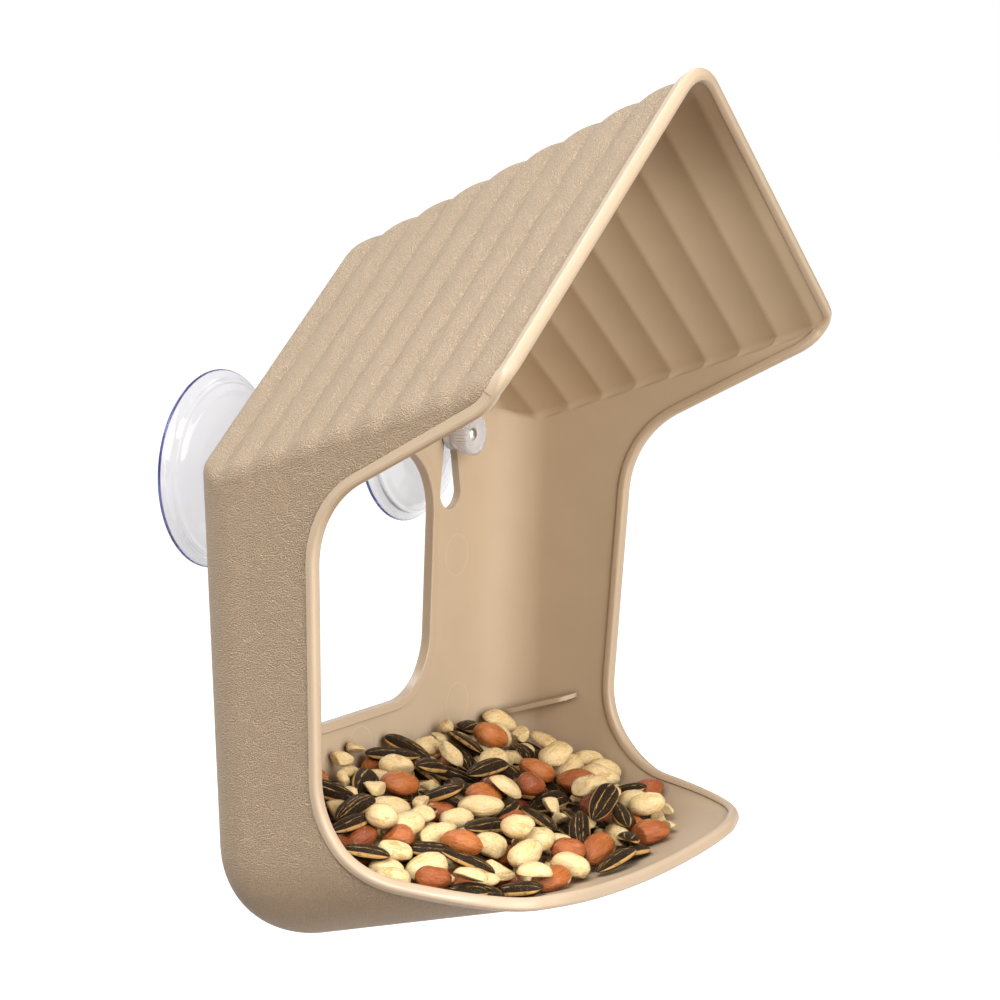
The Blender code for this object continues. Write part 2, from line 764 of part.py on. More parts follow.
class Heap:
    """Heights of the bed and of the shell below it, over a grid of cells."""

    def __init__(self, body, bed):
        self.x = np.arange(-HEAP_HALF_WIDTH, HEAP_HALF_WIDTH + CELL, CELL)
        self.depth = np.arange(PANEL_FRONT, TRAY_DEPTH, CELL)
        self.top = np.full((len(self.x), len(self.depth)), np.inf)
        self.floor = np.full(self.top.shape, np.inf)
        for i, x in enumerate(self.x):
            for j, depth in enumerate(self.depth):
                bed_top = top_at(bed, x, depth)
                below = top_at(body, x, depth)
                if bed_top is not None and below is not None and below < bed_top:
                    self.top[i, j] = bed_top
                    self.floor[i, j] = below
        self.top = widened(self.top, int(round(WALL_MARGIN / CELL)))
        self.floor = widened(self.floor, int(round(WALL_MARGIN / CELL)))

    def window(self, x, depth, reach):
        i = np.flatnonzero(np.abs(self.x - x) <= reach)
        j = np.flatnonzero(np.abs(self.depth - depth) <= reach)
        if len(i) == 0 or len(j) == 0:
            return None
        return slice(i[0], i[-1] + 1), slice(j[0], j[-1] + 1)

    def slope(self, x, depth, reach):
        """Mean slope of the bed round a point, in x and in depth."""
        area = self.window(x, depth, reach)
        if area is None or not np.isfinite(self.top[area]).all():
            return None
        block = self.top[area]
        grid_x, grid_d = np.meshgrid(self.x[area[0]] - x, self.depth[area[1]] - depth, indexing="ij")
        flat = block - block.mean()
        return float((flat * grid_x).sum() / (grid_x ** 2).sum()), float((flat * grid_d).sum() / (grid_d ** 2).sum())


def widened(heights, cells):
    """Raise each cell to its highest neighbour, once for every cell of reach."""
    for _ in range(cells):
        padded = np.pad(heights, 1, constant_values=np.inf)
        rows, columns = heights.shape
        parts = [padded[i:i + rows, j:j + columns] for i in range(3) for j in range(3)]
        heights = np.max(parts, axis=0)
    return heights


def seed_hull(length, width, thickness, ring_share):
    """Points of a six-sided spindle: two tips and two rings."""
    points = [Vector((length / 2, 0, 0)), Vector((-length / 2, 0, 0))]
    for end in (1, -1):
        for side in range(SEED_SIDES):
            turn = 2 * math.pi * side / SEED_SIDES
            y = math.cos(turn) * width / 2
            z = math.sin(turn) * thickness / 2
            points.append(Vector((end * length / 2 * ring_share, y, z)))
    return points


def seed_faces():
    faces = []
    for side in range(SEED_SIDES):
        after = (side + 1) % SEED_SIDES
        faces.append((0, 2 + side, 2 + after))
        faces.append((1, 2 + SEED_SIDES + after, 2 + SEED_SIDES + side))
        faces.append((2 + side, 2 + SEED_SIDES + side, 2 + SEED_SIDES + after, 2 + after))
    return faces


def hull_heights(points, xs, depths):
    """Lowest and highest height of a convex seed over each cell; a missed cell gives none."""
    low = np.full((len(xs), len(depths)), -np.inf)
    high = np.full((len(xs), len(depths)), np.inf)
    grid_x, grid_d = np.meshgrid(xs, depths, indexing="ij")
    for face in seed_faces():
        a, b, c = (points[index] for index in face[:3])
        normal = (b - a).cross(c - a)
        if normal.length == 0:
            continue
        if normal.dot(a) < 0:
            normal.negate()
        reach = normal.dot(a)
        plane = reach - normal.x * grid_x + normal.y * grid_d
        if abs(normal.z) < normal.length / 1000:
            low = np.where(plane < 0, np.inf, low)
        elif normal.z > 0:
            high = np.minimum(high, plane / normal.z)
        else:
            low = np.maximum(low, plane / normal.z)
    return low, high, low <= high


def lay_seed(heap, rng, size, sunk):
    """Try one seed at a random place, lying along the bed and partly sunk in it."""
    x = rng.uniform(-HEAP_HALF_WIDTH, HEAP_HALF_WIDTH)
    depth = rng.uniform(HEAP_BACK_DEPTH, HEAP_FRONT_DEPTH)
    yaw = rng.uniform(0, math.pi)
    roll = rng.gauss(0, SEED_LEAN)
    pitch = rng.gauss(0, SEED_LEAN)
    reach = size[0] / 2 + CELL
    slope = heap.slope(x, depth, size[1] / 2)
    if slope is None or abs(x) > HEAP_HALF_WIDTH - size[1] / 2:
        return None
    up = Vector((-slope[0], slope[1], 1)).normalized()
    turn = Vector((0, 0, 1)).rotation_difference(up).to_matrix()
    turn = turn @ Matrix.Rotation(yaw, 3, "Z") @ Matrix.Rotation(pitch, 3, "Y") @ Matrix.Rotation(roll, 3, "X")
    points = [turn @ point for point in seed_hull(*size)]
    area = heap.window(x, depth, reach)
    low, high, inside = hull_heights(points, heap.x[area[0]] - x, heap.depth[area[1]] - depth)
    if not inside.any():
        return None
    top = heap.top[area][inside]
    if not np.isfinite(top).all():
        return None
    touch = (top - low[inside]).max()
    least = (heap.floor[area][inside] - low[inside]).max() + SEED_CLEARANCE
    height = max(touch - sunk * size[2], least)
    if height > touch - LEAST_HOLD:
        return None
    return abs(height - touch + sunk * size[2]), points, Vector((x, -depth, height)), area, inside


def make_seed_heap(body, collection, tools):
    """One heap: the mound with a top layer of single seeds partly sunk in it, none overlapping."""
    bed = make_bed(tree_of(body), collection)
    bpy.context.view_layer.update()
    heap = Heap(tree_of(body), tree_of(bed))
    rng = random.Random(11)
    order = []
    for kind, spec in enumerate(SEED_KINDS):
        order += [kind] * spec[0]
    rng.shuffle(order)
    bm = bmesh.new()
    for kind in order:
        _, length, width, thickness, ring_share, sunk, spread = SEED_KINDS[kind]
        scale = 1 + rng.uniform(-spread, spread)
        size = length * scale, width * scale, thickness * scale, ring_share
        found = [lay_seed(heap, rng, size, sunk) for _ in range(TRIES)]
        found = [trial for trial in found if trial]
        if not found:
            continue
        _, points, centre, area, inside = min(found, key=lambda trial: trial[0])
        rows, columns = inside.shape
        padded = np.pad(inside, 1)
        near = np.max([padded[i:i + rows, j:j + columns] for i in range(3) for j in range(3)], axis=0)
        heap.top[area] = np.where(near, np.inf, heap.top[area])
        corners = [bm.verts.new(point + centre) for point in points]
        for face in seed_faces():
            bm.faces.new([corners[index] for index in face])
    seeds = new_object("top_seeds", mesh_from(bm, "top_seeds"), tools)
    cut(bed, seeds, "UNION")
    return bed


def make_material(name):
    colour, roughness, metallic, alpha = MATERIALS[name]
    material = bpy.data.materials.new(name)
    material.use_nodes = True
    shader = material.node_tree.nodes["Principled BSDF"]
    shader.inputs["Base Color"].default_value = (*colour, 1.0)
    shader.inputs["Roughness"].default_value = roughness
    shader.inputs["Metallic"].default_value = metallic
    shader.inputs["Alpha"].default_value = alpha
    material.diffuse_color = (*colour, alpha)
    return material


def material_name(node):
    for ending, name in (
        ("feeder_body", "beige_plastic"),
        ("suction_cup", "clear_pvc"),
        ("stud", "stud_metal"),
        ("washer", "clear_plastic"),
        ("nut", "clear_plastic"),
        ("seed_heap", "mixed_seeds"),
    ):
        if node.endswith(ending):
            return name
    return node


def finish_looks(parts):
    made = {}
    for thing in parts.objects:
        name = material_name(thing.name)
        if name not in made:
            made[name] = make_material(name)
        thing.data.materials.append(made[name])
        thing.data.shade_smooth()
        thing.data.set_sharp_from_angle(angle=math.radians(32))


def main():
    for thing in list(bpy.data.objects):
        bpy.data.objects.remove(thing)
    parts = bpy.data.collections.new("window_bird_feeder")
    tools = bpy.data.collections.new("cutters")
    bpy.context.scene.collection.children.link(parts)
    bpy.context.scene.collection.children.link(tools)
    body = make_feeder_body(parts, tools)
    for side, name in ((-1, "left"), (1, "right")):
        x = side * CUP_SPACING / 2
        make_cup(name + "_suction_cup", x, parts)
        make_stud(name + "_stud", x, parts)
        make_washer(name + "_washer", x, parts)
        make_nut(name + "_nut", x, parts, tools)
    bpy.context.view_layer.update()
    make_seed_heap(body, parts, tools)
    finish_looks(parts)


main()
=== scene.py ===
import math
import random
from math import cos, pi, radians, sin

import bmesh
import bpy
import numpy as np
from mathutils import Matrix, Vector
from mathutils.bvhtree import BVHTree


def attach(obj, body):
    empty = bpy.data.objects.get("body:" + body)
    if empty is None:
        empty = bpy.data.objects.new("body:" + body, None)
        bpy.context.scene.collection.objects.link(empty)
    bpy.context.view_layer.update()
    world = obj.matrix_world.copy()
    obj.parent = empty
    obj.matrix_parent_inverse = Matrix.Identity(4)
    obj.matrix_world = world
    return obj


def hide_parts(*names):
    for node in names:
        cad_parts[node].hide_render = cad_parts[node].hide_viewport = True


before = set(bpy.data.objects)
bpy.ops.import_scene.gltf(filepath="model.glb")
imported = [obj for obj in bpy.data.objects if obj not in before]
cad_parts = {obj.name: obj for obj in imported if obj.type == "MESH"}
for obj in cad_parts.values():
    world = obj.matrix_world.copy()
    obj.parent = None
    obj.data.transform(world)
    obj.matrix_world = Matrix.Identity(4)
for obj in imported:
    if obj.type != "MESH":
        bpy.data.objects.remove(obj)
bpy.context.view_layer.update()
MM = 0.001

# Camera at the photograph's view
AZIMUTH, ELEVATION, ROLL = radians(-59.35), radians(8.27), radians(-0.1)
TARGET = Vector((0.0121, -0.0600, -0.0137))
DISTANCE = 1.100
# Focal length and middle of the photograph in its pixels, for the picture points named below
FOCAL, MIDDLE = 3552.8, 500
away = Vector((sin(AZIMUTH) * cos(ELEVATION), -cos(AZIMUTH) * cos(ELEVATION), sin(ELEVATION)))
camera_data = bpy.data.cameras.new("camera")
camera_data.lens = 127.9
camera_data.sensor_width = 36
camera_data.clip_start = 0.05
camera_data.clip_end = 20
camera = bpy.data.objects.new("camera", camera_data)
view = (Matrix.Rotation(ROLL, 3, away) @ (-away).to_track_quat("-Z", "Y").to_matrix()).to_4x4()
view.translation = TARGET + away * DISTANCE
camera.matrix_world = view
bpy.context.scene.collection.objects.link(camera)
bpy.context.scene.camera = camera
bpy.context.scene.view_settings.view_transform = "Standard"


# Node materials
class Nodes:
    """Short way to build a node tree: each call adds a node, sets its inputs and gives back its result."""

    def __init__(self, name, world=False):
        self.owner = (bpy.data.worlds if world else bpy.data.materials).new(name)
        self.owner.use_nodes = True
        self.tree = self.owner.node_tree
        self.shader = self.tree.nodes["Background" if world else "Principled BSDF"]

    def add(self, kind, inputs=(), **settings):
        node = self.tree.nodes.new("ShaderNode" + kind)
        for key, value in settings.items():
            setattr(node, key, value)
        for key, value in dict(inputs).items():
            self.put(node, key, value)
        return node

    def put(self, node, key, value):
        socket = node.inputs[key]
        if isinstance(value, bpy.types.NodeSocket):
            self.tree.links.new(value, socket)
        else:
            socket.default_value = (*value, 1) if socket.type == "RGBA" else value

    def math(self, operation, a, b=0.0):
        return self.add("Math", {0: a, 1: b}, operation=operation).outputs[0]

    def plus(self, a, b):
        return self.math("ADD", a, b)

    def minus(self, a, b):
        return self.math("SUBTRACT", a, b)

    def times(self, a, b):
        return self.math("MULTIPLY", a, b)

    def size(self, a):
        return self.math("ABSOLUTE", a)

    def reach(self, a, b):
        return self.math("SQRT", self.plus(self.math("POWER", a, 2.0), self.math("POWER", b, 2.0)))

    def split(self, vector):
        return self.add("SeparateXYZ", {0: vector}).outputs

    def join(self, *shares):
        return self.add("CombineXYZ", dict(enumerate(shares))).outputs[0]

    def mix(self, share, a, b, kind="MIX"):
        return self.add("Mix", {0: share, 6: a, 7: b}, data_type="RGBA", blend_type=kind).outputs[2]

    def shade(self, colour, level):
        grey = self.add("CombineColor", {0: level, 1: level, 2: level}).outputs[0]
        return self.mix(1.0, colour, grey, "MULTIPLY")

    def ramp(self, value, stops):
        node = self.add("ValToRGB", {0: value})
        while len(node.color_ramp.elements) < len(stops):
            node.color_ramp.elements.new(0.5)
        for element, (place, colour) in zip(node.color_ramp.elements, stops):
            element.position = place
            element.color = (*colour, 1)
        return node.outputs[0]

    def range(self, value, low, high, to_low=0.0, to_high=1.0, smooth=False):
        return self.add("MapRange", {0: value, 1: low, 2: high, 3: to_low, 4: to_high},
                        interpolation_type="SMOOTHSTEP" if smooth else "LINEAR").outputs[0]

    def vary(self, noise, low=0.0, high=1.0):
        """The middle part of a noise spread over low to high."""
        return self.range(noise, 0.3, 0.7, low, high)

    def place(self):
        return self.add("TexCoord").outputs["Object"]

    def noise(self, scale, detail=2.0, roughness=0.5, vector=None):
        return self.add("TexNoise", {"Vector": vector or self.place(), "Scale": scale, "Detail": detail,
                                     "Roughness": roughness}).outputs[0]

    def bump(self, height, distance, strength=1.0):
        return self.add("Bump", {"Height": height, "Distance": distance, "Strength": strength}).outputs[0]

    def set(self, **inputs):
        names = {"colour": "Base Color", "rough": "Roughness", "metal": "Metallic", "normal": "Normal", "ior": "IOR",
                 "clear": "Transmission Weight", "specular": "Specular IOR Level"}
        for key, value in inputs.items():
            self.put(self.shader, names[key], value)
        return self.owner


BEIGE = (0.562, 0.416, 0.279)
BEIGE_LIGHT = (0.580, 0.430, 0.291)


def painted_crease_shade(n, colour, reach, darkest):
    """Painted shade: colour darkened by ambient occlusion in creases and along edges that meet another surface."""
    open_share = n.add("AmbientOcclusion", {"Distance": reach}, samples=6).outputs["AO"]
    return n.shade(colour, n.range(open_share, 0.35, 0.95, darkest, 1.0))


def grain_material():
    """Moulded plastic with a leather grain: winding ridges with narrow valleys between them, with painted shade in
    the valleys and creases and painted light on the ridges.
    """
    n = Nodes("beige_grain")
    place = n.place()
    wander = n.add("TexNoise", {"Vector": place, "Scale": 1400.0, "Detail": 1.0}).outputs["Color"]
    warp = n.add("VectorMath", {0: wander, 1: (0.0003, 0.0003, 0.0003), 2: place},
                 operation="MULTIPLY_ADD").outputs[0]
    pebbles = n.range(n.noise(2550.0, 0.3, 0.40, warp), 0.30, 0.68, 0.0, 1.0, True)
    fine = n.noise(3800.0, 1.0, 0.5)
    height = n.plus(n.times(pebbles, 0.85), n.times(fine, 0.25))
    tint = n.mix(n.range(n.noise(16.0, 3.0), 0.35, 0.65), BEIGE, BEIGE_LIGHT)
    # Painted shade and light: the colour follows the grain's height, darker in its valleys and lighter on its ridges.
    colour = n.shade(tint, n.range(height, 0.15, 1.0, 0.86, 1.08))
    # Painted shade in creases, from ambient occlusion.
    return n.set(colour=painted_crease_shade(n, colour, 0.0014, 0.80), rough=n.vary(fine, 0.44, 0.54),
                 normal=n.bump(height, 0.00068), specular=0.45)


def inner_material():
    """Matte inside with painted shade that deepens towards the ridge and in creases, and the rings that ejector pins
    leave on the panel.
    """
    n = Nodes("beige_matte")
    fine = n.noise(2600.0, 2.0, 0.6)
    x, y, z = n.split(n.place())
    rings = 0.0
    for cx, cz in EJECTOR_MARKS:
        off = n.size(n.minus(n.reach(n.minus(x, cx), n.minus(z, cz)), EJECTOR_RADIUS))
        rings = n.math("MAXIMUM", rings, n.range(off, 0.0, 0.00045, 1.0, 0.0, True))
    rings = n.times(rings, n.range(y, -0.0175, -0.0165))
    colour = n.mix(n.vary(n.noise(60.0, 3.0)), (0.558, 0.438, 0.304), (0.582, 0.460, 0.322))
    # Painted shade under the roof: the colour darkens towards the ridge.
    colour = n.mix(n.range(z, 0.066, 0.108, 0.0, 0.80, True), colour, (0.230, 0.140, 0.070))
    # Painted shade in creases, from ambient occlusion.
    colour = painted_crease_shade(n, n.mix(n.times(rings, 0.22), colour, (0.80, 0.68, 0.52)), 0.0025, 0.55)
    grit = n.bump(fine, 0.00005, 0.5)
    normal = n.add("Bump", {"Height": rings, "Distance": 0.00012, "Strength": 0.6, "Normal": grit}).outputs[0]
    return n.set(colour=colour, rough=n.vary(fine, 0.46, 0.56), normal=normal, specular=0.30)


def bead_material():
    n = Nodes("beige_smooth")
    fine = n.noise(1900.0, 2.0, 0.5)
    soft = n.noise(45.0, 2.0)
    colour = n.mix(n.vary(soft), (0.562, 0.430, 0.298), (0.586, 0.452, 0.316))
    grit = n.noise(1300.0, 1.0, 0.5)
    # Painted shade in creases and along the bead's edges, from ambient occlusion.
    return n.set(colour=painted_crease_shade(n, colour, 0.0012, 0.50), rough=n.vary(fine, 0.27, 0.36),
                 normal=n.bump(grit, 0.00010, 0.6), specular=0.50)


def cup_material():
    """Clear soft vinyl: nearly water clear at the thin dome, deep blue along the edge of the lip."""
    n = Nodes("clear_vinyl")
    x, _, z = n.split(n.place())
    radius = n.reach(x, z)
    lip = n.range(radius, 0.02950, 0.02985, 0.0, 1.0, True)
    neck = n.range(radius, 0.0075, 0.0060, 0.0, 1.0, True)
    colour = n.mix(neck, (0.770, 0.765, 0.790), (0.50, 0.50, 0.74))
    colour = n.mix(lip, colour, (0.045, 0.055, 0.36))
    haze = n.noise(140.0, 3.0)
    return n.set(colour=colour, rough=n.vary(haze, 0.04, 0.09), clear=0.90, ior=1.42, specular=0.9,
                 normal=n.bump(n.noise(220.0, 2.0), 0.00008, 0.2))


def stud_material():
    n = Nodes("stud_metal")
    fine = n.noise(900.0, 3.0)
    colour = n.mix(n.vary(fine), (0.44, 0.47, 0.43), (0.66, 0.68, 0.65))
    return n.set(colour=colour, rough=n.vary(fine, 0.24, 0.38), metal=1.0)


def nut_material():
    n = Nodes("clear_moulding")
    haze = n.noise(500.0, 2.0)
    return n.set(colour=(0.90, 0.89, 0.91), rough=n.vary(haze, 0.10, 0.20), clear=0.48, ior=1.45,
                 normal=n.bump(haze, 0.00006, 0.3))


def seed_inputs(n):
    """A seed's own coordinates, its own number, and the coordinates one by one, as join_seeds writes them."""
    local, own = (n.add("Attribute", attribute_name=name) for name in ("local", "own"))
    return local.outputs["Vector"], own.outputs["Fac"], n.split(local.outputs["Vector"])


def sunflower_material():
    """Dark hull with cream stripes from tip to tip, broader at the edges, and dusty scuffs."""
    n = Nodes("sunflower_hull")
    local, own, (x, y, z) = seed_inputs(n)
    shift = n.times(own, 40.0)
    drawn = n.join(n.times(x, 1.6), n.times(y, 4.0), shift)
    wander = n.times(n.minus(n.noise(1.5, 3.0, 0.55, drawn), 0.5), 0.34)
    across = n.size(n.plus(y, wander))
    other = n.math("FRACT", n.times(own, 7.31))
    edge = n.range(n.plus(n.size(z), n.times(wander, 0.45)), 0.28, 0.38, 1.0, 0.0)
    middle = n.plus(0.40, n.times(n.minus(own, 0.5), 0.30))
    inner = n.range(n.size(n.minus(across, middle)), 0.015, 0.060, 1.0, 0.0, True)
    centre = n.times(n.range(across, 0.015, 0.055, 1.0, 0.0, True), n.math("GREATER_THAN", other, 0.55))
    dashes = n.noise(2.0, 3.0, 0.6, drawn)
    edge = n.times(edge, n.range(dashes, 0.30, 0.46))
    inner = n.times(inner, n.range(dashes, 0.44, 0.56))
    centre = n.times(centre, n.range(dashes, 0.48, 0.60))
    fibres = n.join(n.times(x, 2.0), n.times(y, 22.0), n.plus(n.times(z, 22.0), shift))
    fibre = n.noise(1.6, 3.0, 0.6, fibres)
    stripes = n.math("MAXIMUM", edge, n.math("MAXIMUM", inner, centre))
    tips = n.range(n.size(x), 0.86, 0.99, 1.0, 0.25)
    stripes = n.times(n.times(stripes, tips), n.range(fibre, 0.28, 0.52, 0.60, 1.0))
    dark = n.mix(n.range(fibre, 0.35, 0.70), (0.010, 0.005, 0.002), (0.040, 0.022, 0.009))
    cream = n.mix(n.noise(2.0, 2.0, 0.5, fibres), (0.52, 0.24, 0.055), (0.84, 0.54, 0.20))
    colour = n.mix(stripes, dark, cream)
    moved = n.add("VectorMath", {0: local, 1: shift}, operation="ADD").outputs[0]
    dust = n.range(n.noise(7.0, 4.0, 0.7, moved), 0.62, 0.72)
    colour = n.mix(n.times(dust, 0.25), colour, (0.40, 0.28, 0.15))
    specks = n.range(n.noise(22.0, 2.0, 0.5, local), 0.68, 0.72)
    colour = n.mix(n.times(specks, 0.55), colour, (0.72, 0.62, 0.46))
    normal = n.bump(n.plus(fibre, n.times(stripes, 0.4)), 0.00016, 0.8)
    return n.set(colour=colour, rough=n.vary(fibre, 0.32, 0.46), normal=normal, specular=0.12)


def kernel_material(name, skins, flesh, skin_share, vein_share):
    """Peanut kernel: papery skin with fine veins along it, worn off in places down to the flesh, with painted shade
    in its creases.
    """
    n = Nodes(name)
    local, own, (x, y, z) = seed_inputs(n)
    shift = n.times(own, 60.0)
    moved = n.add("VectorMath", {0: local, 1: shift}, operation="ADD").outputs[0]
    veins = n.join(n.plus(n.times(x, 1.4), shift), n.times(y, 9.0), n.times(z, 9.0))
    vein = n.noise(1.1, 3.0, 0.6, veins)
    blotch = n.noise(1.4, 3.0, 0.55, moved)
    skin = n.ramp(n.plus(n.times(own, 0.7), n.times(blotch, 0.5)),
                  [(0.25, skins[0]), (0.60, skins[1]), (0.95, skins[2])])
    skin = n.mix(n.times(n.range(vein, 0.50, 0.66), vein_share), skin, skins[3])
    meat = n.mix(n.vary(blotch), flesh[0], flesh[1])
    specks = n.range(n.noise(8.0, 2.0, 0.5, moved), 0.61, 0.69)
    meat = n.mix(n.times(specks, 0.55), meat, flesh[2])
    seam = n.times(n.range(n.size(y), 0.02, 0.10, 1.0, 0.0, True), 0.10)
    meat = n.mix(seam, meat, flesh[2])
    worn = n.plus(n.noise(1.1, 4.0, 0.65, moved), n.times(n.size(x), 0.10))
    bare = n.range(worn, skin_share - 0.010, skin_share + 0.010)
    colour = n.mix(bare, skin, meat)
    lumps = n.noise(3.4, 4.0, 0.65, moved)
    height = n.plus(n.times(vein, 0.50), n.times(lumps, 1.1))
    height = n.minus(height, n.times(seam, 1.2))
    normal = n.bump(n.minus(height, n.times(bare, 0.25)), 0.00060, 0.8)
    # Painted shade in the kernel's creases and where kernels touch, from ambient occlusion.
    return n.set(colour=painted_crease_shade(n, colour, 0.0030, 0.60), rough=n.vary(lumps, 0.20, 0.34), normal=normal,
                 specular=0.50)


def crumb_material():
    n = Nodes("seed_crumbs")
    cells = n.add("TexVoronoi", {"Vector": n.place(), "Scale": 260.0}).outputs["Distance"]
    colour = n.ramp(n.noise(180.0, 3.0), [(0.35, (0.020, 0.014, 0.010)), (0.55, (0.10, 0.055, 0.028)),
                                          (0.72, (0.34, 0.22, 0.12))])
    return n.set(colour=colour, rough=0.7, normal=n.bump(cells, 0.0012, 0.9))


# Feeder body, on the same sizes as the solid part
WALL, PANEL = 0.0026, 0.0134
RIDGE, ROOF, EAVE, SIDE, HULL, FLOOR, KEEL = range(7)
STRETCHES = 7
ROOF_DEPTH, EAVE_DEPTH, TRAY_DEPTH, LIP_HEIGHT = 0.1349, 0.1287, 0.1216, -0.1195
# Heights at the panel and at the front, and the roundings of the section's corners
RIDGE_Z, EAVE_Z, KEEL_Z = (0.0657, 0.1231), (-0.0009, 0.0382), (-0.1520, -0.1265)
RIDGE_R, EAVE_R, HULL_R, KEEL_R, LEAST_R = 0.0160, 0.0062, 0.0310, 0.4400, 0.0045
# Rounding between the panel and the roof, the walls and the tray's bottom
ROOF_BACK_R, WALL_BACK_R, FLOOR_BACK_R = 0.0060, 0.0185, 0.0280
# Ribs of the roof: where they begin, how many there are, their rise and the depth of the creases between
FIRST, SCALLOPS, RISE, CREASE = 0.0270, 8.4, 0.0011, 0.0005
# The front edge seen from the side, as (depth, height)
PROFILE_EAVE, PROFILE_RISE = 0.0330, 0.095
NOTCH_TOP, NOTCH_BOTTOM = (0.0612, -0.0022), (0.0564, -0.1092)
PLAN_RADIUS = 0.56 * (TRAY_DEPTH - NOTCH_BOTTOM[0])
# The bead of the front edge: how far it stands out, how far it leads the wall, and its width
PROUD, LEAD, WIDTH = 0.0007, 0.0010, 0.00285
# Window: top, bottom, half widths there, and the radii of its corners
WINDOW = (-0.0020, -0.0832, 0.0451, 0.0394, 0.0220, 0.0210)
HOLE_MARGIN = 0.004
CUP_X = 0.0546
EJECTOR_MARKS = [(0.0586, -0.0410), (0.0583, -0.0905), (-0.0007, -0.0945), (-0.0586, -0.0410), (-0.0583, -0.0905)]
EJECTOR_RADIUS = 0.0068
COLUMNS = 170
STEPS = 14
GRAIN, INNER, BEAD = range(3)


def along(a, b, share):
    return a + (b - a) * share


def wall_x(depth, height):
    """Half the width outside: it leans and opens towards the front."""
    return 0.0951 + 0.075 * height + (0.060 + 0.5 * height) * (depth - 0.060)


def inset(depth, radius):
    reach = radius - (depth - PANEL)
    return radius - math.sqrt(max(radius * radius - reach * reach, 0.0)) if reach > 0 else 0.0


def unit(x, z):
    size = math.hypot(x, z)
    return x / size, z / size


def corner_arc(line_a, line_b, radius):
    (ax, az), ad = line_a
    (bx, bz), bd = line_b
    det = ax * bz - az * bx
    x, z = (ad * bz - bd * az) / det, (ax * bd - bx * ad) / det
    scale = radius / (1 + ax * bx + az * bz)
    return x - (ax + bx) * scale, z - (az + bz) * scale, radius, math.atan2(az, ax), math.atan2(bz, bx)


def axis_arc(line, radius, way):
    (nx, nz), reach = line
    side = math.atan2(nz, nx)
    middle = way * pi / 2
    ends = (middle, side) if way > 0 else (side, middle)
    return (0.0, (reach - radius) / nz, radius, *ends)


def section(depth):
    """The right half of the house outline at one depth: four arcs joined by three lines."""
    ridge = along(*RIDGE_Z, (depth - PANEL) / (ROOF_DEPTH - PANEL))
    eave = along(*EAVE_Z, (depth - PANEL) / (EAVE_DEPTH - PANEL))
    keel = along(*KEEL_Z, (depth - PANEL) / (TRAY_DEPTH - PANEL))
    eave_x, low_x = wall_x(depth, eave), wall_x(depth, keel)
    roof_n, wall_n, floor_n = unit(ridge - eave, eave_x), unit(eave - keel, low_x - eave_x), unit(0.140, -1)
    roof_in, wall_in, floor_in = inset(depth, ROOF_BACK_R), inset(depth, WALL_BACK_R), inset(depth, FLOOR_BACK_R)
    roof = roof_n, roof_n[1] * ridge - roof_in
    wall = wall_n, wall_n[0] * eave_x + wall_n[1] * eave - wall_in
    floor = floor_n, floor_n[1] * keel - floor_in
    return {
        RIDGE: axis_arc(roof, max(RIDGE_R - roof_in, LEAST_R), 1),
        EAVE: corner_arc(roof, wall, max(EAVE_R - (roof_in + wall_in) / 2, LEAST_R)),
        HULL: corner_arc(wall, floor, max(HULL_R - (wall_in + floor_in) / 2, LEAST_R)),
        KEEL: axis_arc(floor, KEEL_R, -1),
    }


def outline_point(arcs, place):
    """Point and normal at a place from 0 at the ridge to STRETCHES at the keel."""
    stretch = min(int(place), STRETCHES - 1)
    share = place - stretch
    if stretch in arcs:
        x, z, radius, start, end = arcs[stretch]
        turn = along(start, end, share)
        return x + radius * cos(turn), z + radius * sin(turn), cos(turn), sin(turn)
    ax, az, ar, _, turn = arcs[stretch - 1]
    bx, bz, br = arcs[stretch + 1][:3]
    nx, nz = cos(turn), sin(turn)
    return along(ax + ar * nx, bx + br * nx, share), along(az + ar * nz, bz + br * nz, share), nx, nz


def quarter(steps):
    """Angles of a quarter turn, both ends included."""
    return [pi / 2 * step / steps for step in range(steps + 1)]


def round_corners(points, radii, steps):
    result = [points[0]]
    for before, corner, after, radius in zip(points, points[1:], points[2:], radii):
        start, end = Vector(before) - Vector(corner), Vector(after) - Vector(corner)
        half = start.angle(end) / 2
        reach = radius / math.tan(half)
        middle = Vector(corner) + (start.normalized() + end.normalized()).normalized() * (radius / sin(half))
        first = Vector(corner) + start.normalized() * reach - middle
        last = Vector(corner) + end.normalized() * reach - middle
        turn = first.angle_signed(last)
        for step in range(steps + 1):
            result.append(tuple(middle + Matrix.Rotation(-turn * step / steps, 2) @ first))
    return result + [points[-1]]


def front_profile():
    slope = (ROOF_DEPTH - EAVE_DEPTH) / (RIDGE_Z[1] - PROFILE_EAVE)
    corners = [(EAVE_DEPTH + slope * PROFILE_RISE, PROFILE_EAVE + PROFILE_RISE), (EAVE_DEPTH, PROFILE_EAVE),
               NOTCH_TOP, NOTCH_BOTTOM, (TRAY_DEPTH, LIP_HEIGHT), (TRAY_DEPTH, -0.160)]
    return round_corners(corners, (0.019, 0.032, 0.029, 0.002), 60)[::-1]


PROFILE = front_profile()
PROFILE_Z = [z for _, z in PROFILE]
PROFILE_D = [depth for depth, _ in PROFILE]


def plan_limit(x):
    past = abs(x) - (wall_x(TRAY_DEPTH, LIP_HEIGHT) - LEAD - PLAN_RADIUS)
    if past <= 0:
        return TRAY_DEPTH
    if past >= PLAN_RADIUS:
        return TRAY_DEPTH - PLAN_RADIUS
    return TRAY_DEPTH - PLAN_RADIUS + math.sqrt(PLAN_RADIUS ** 2 - past * past)


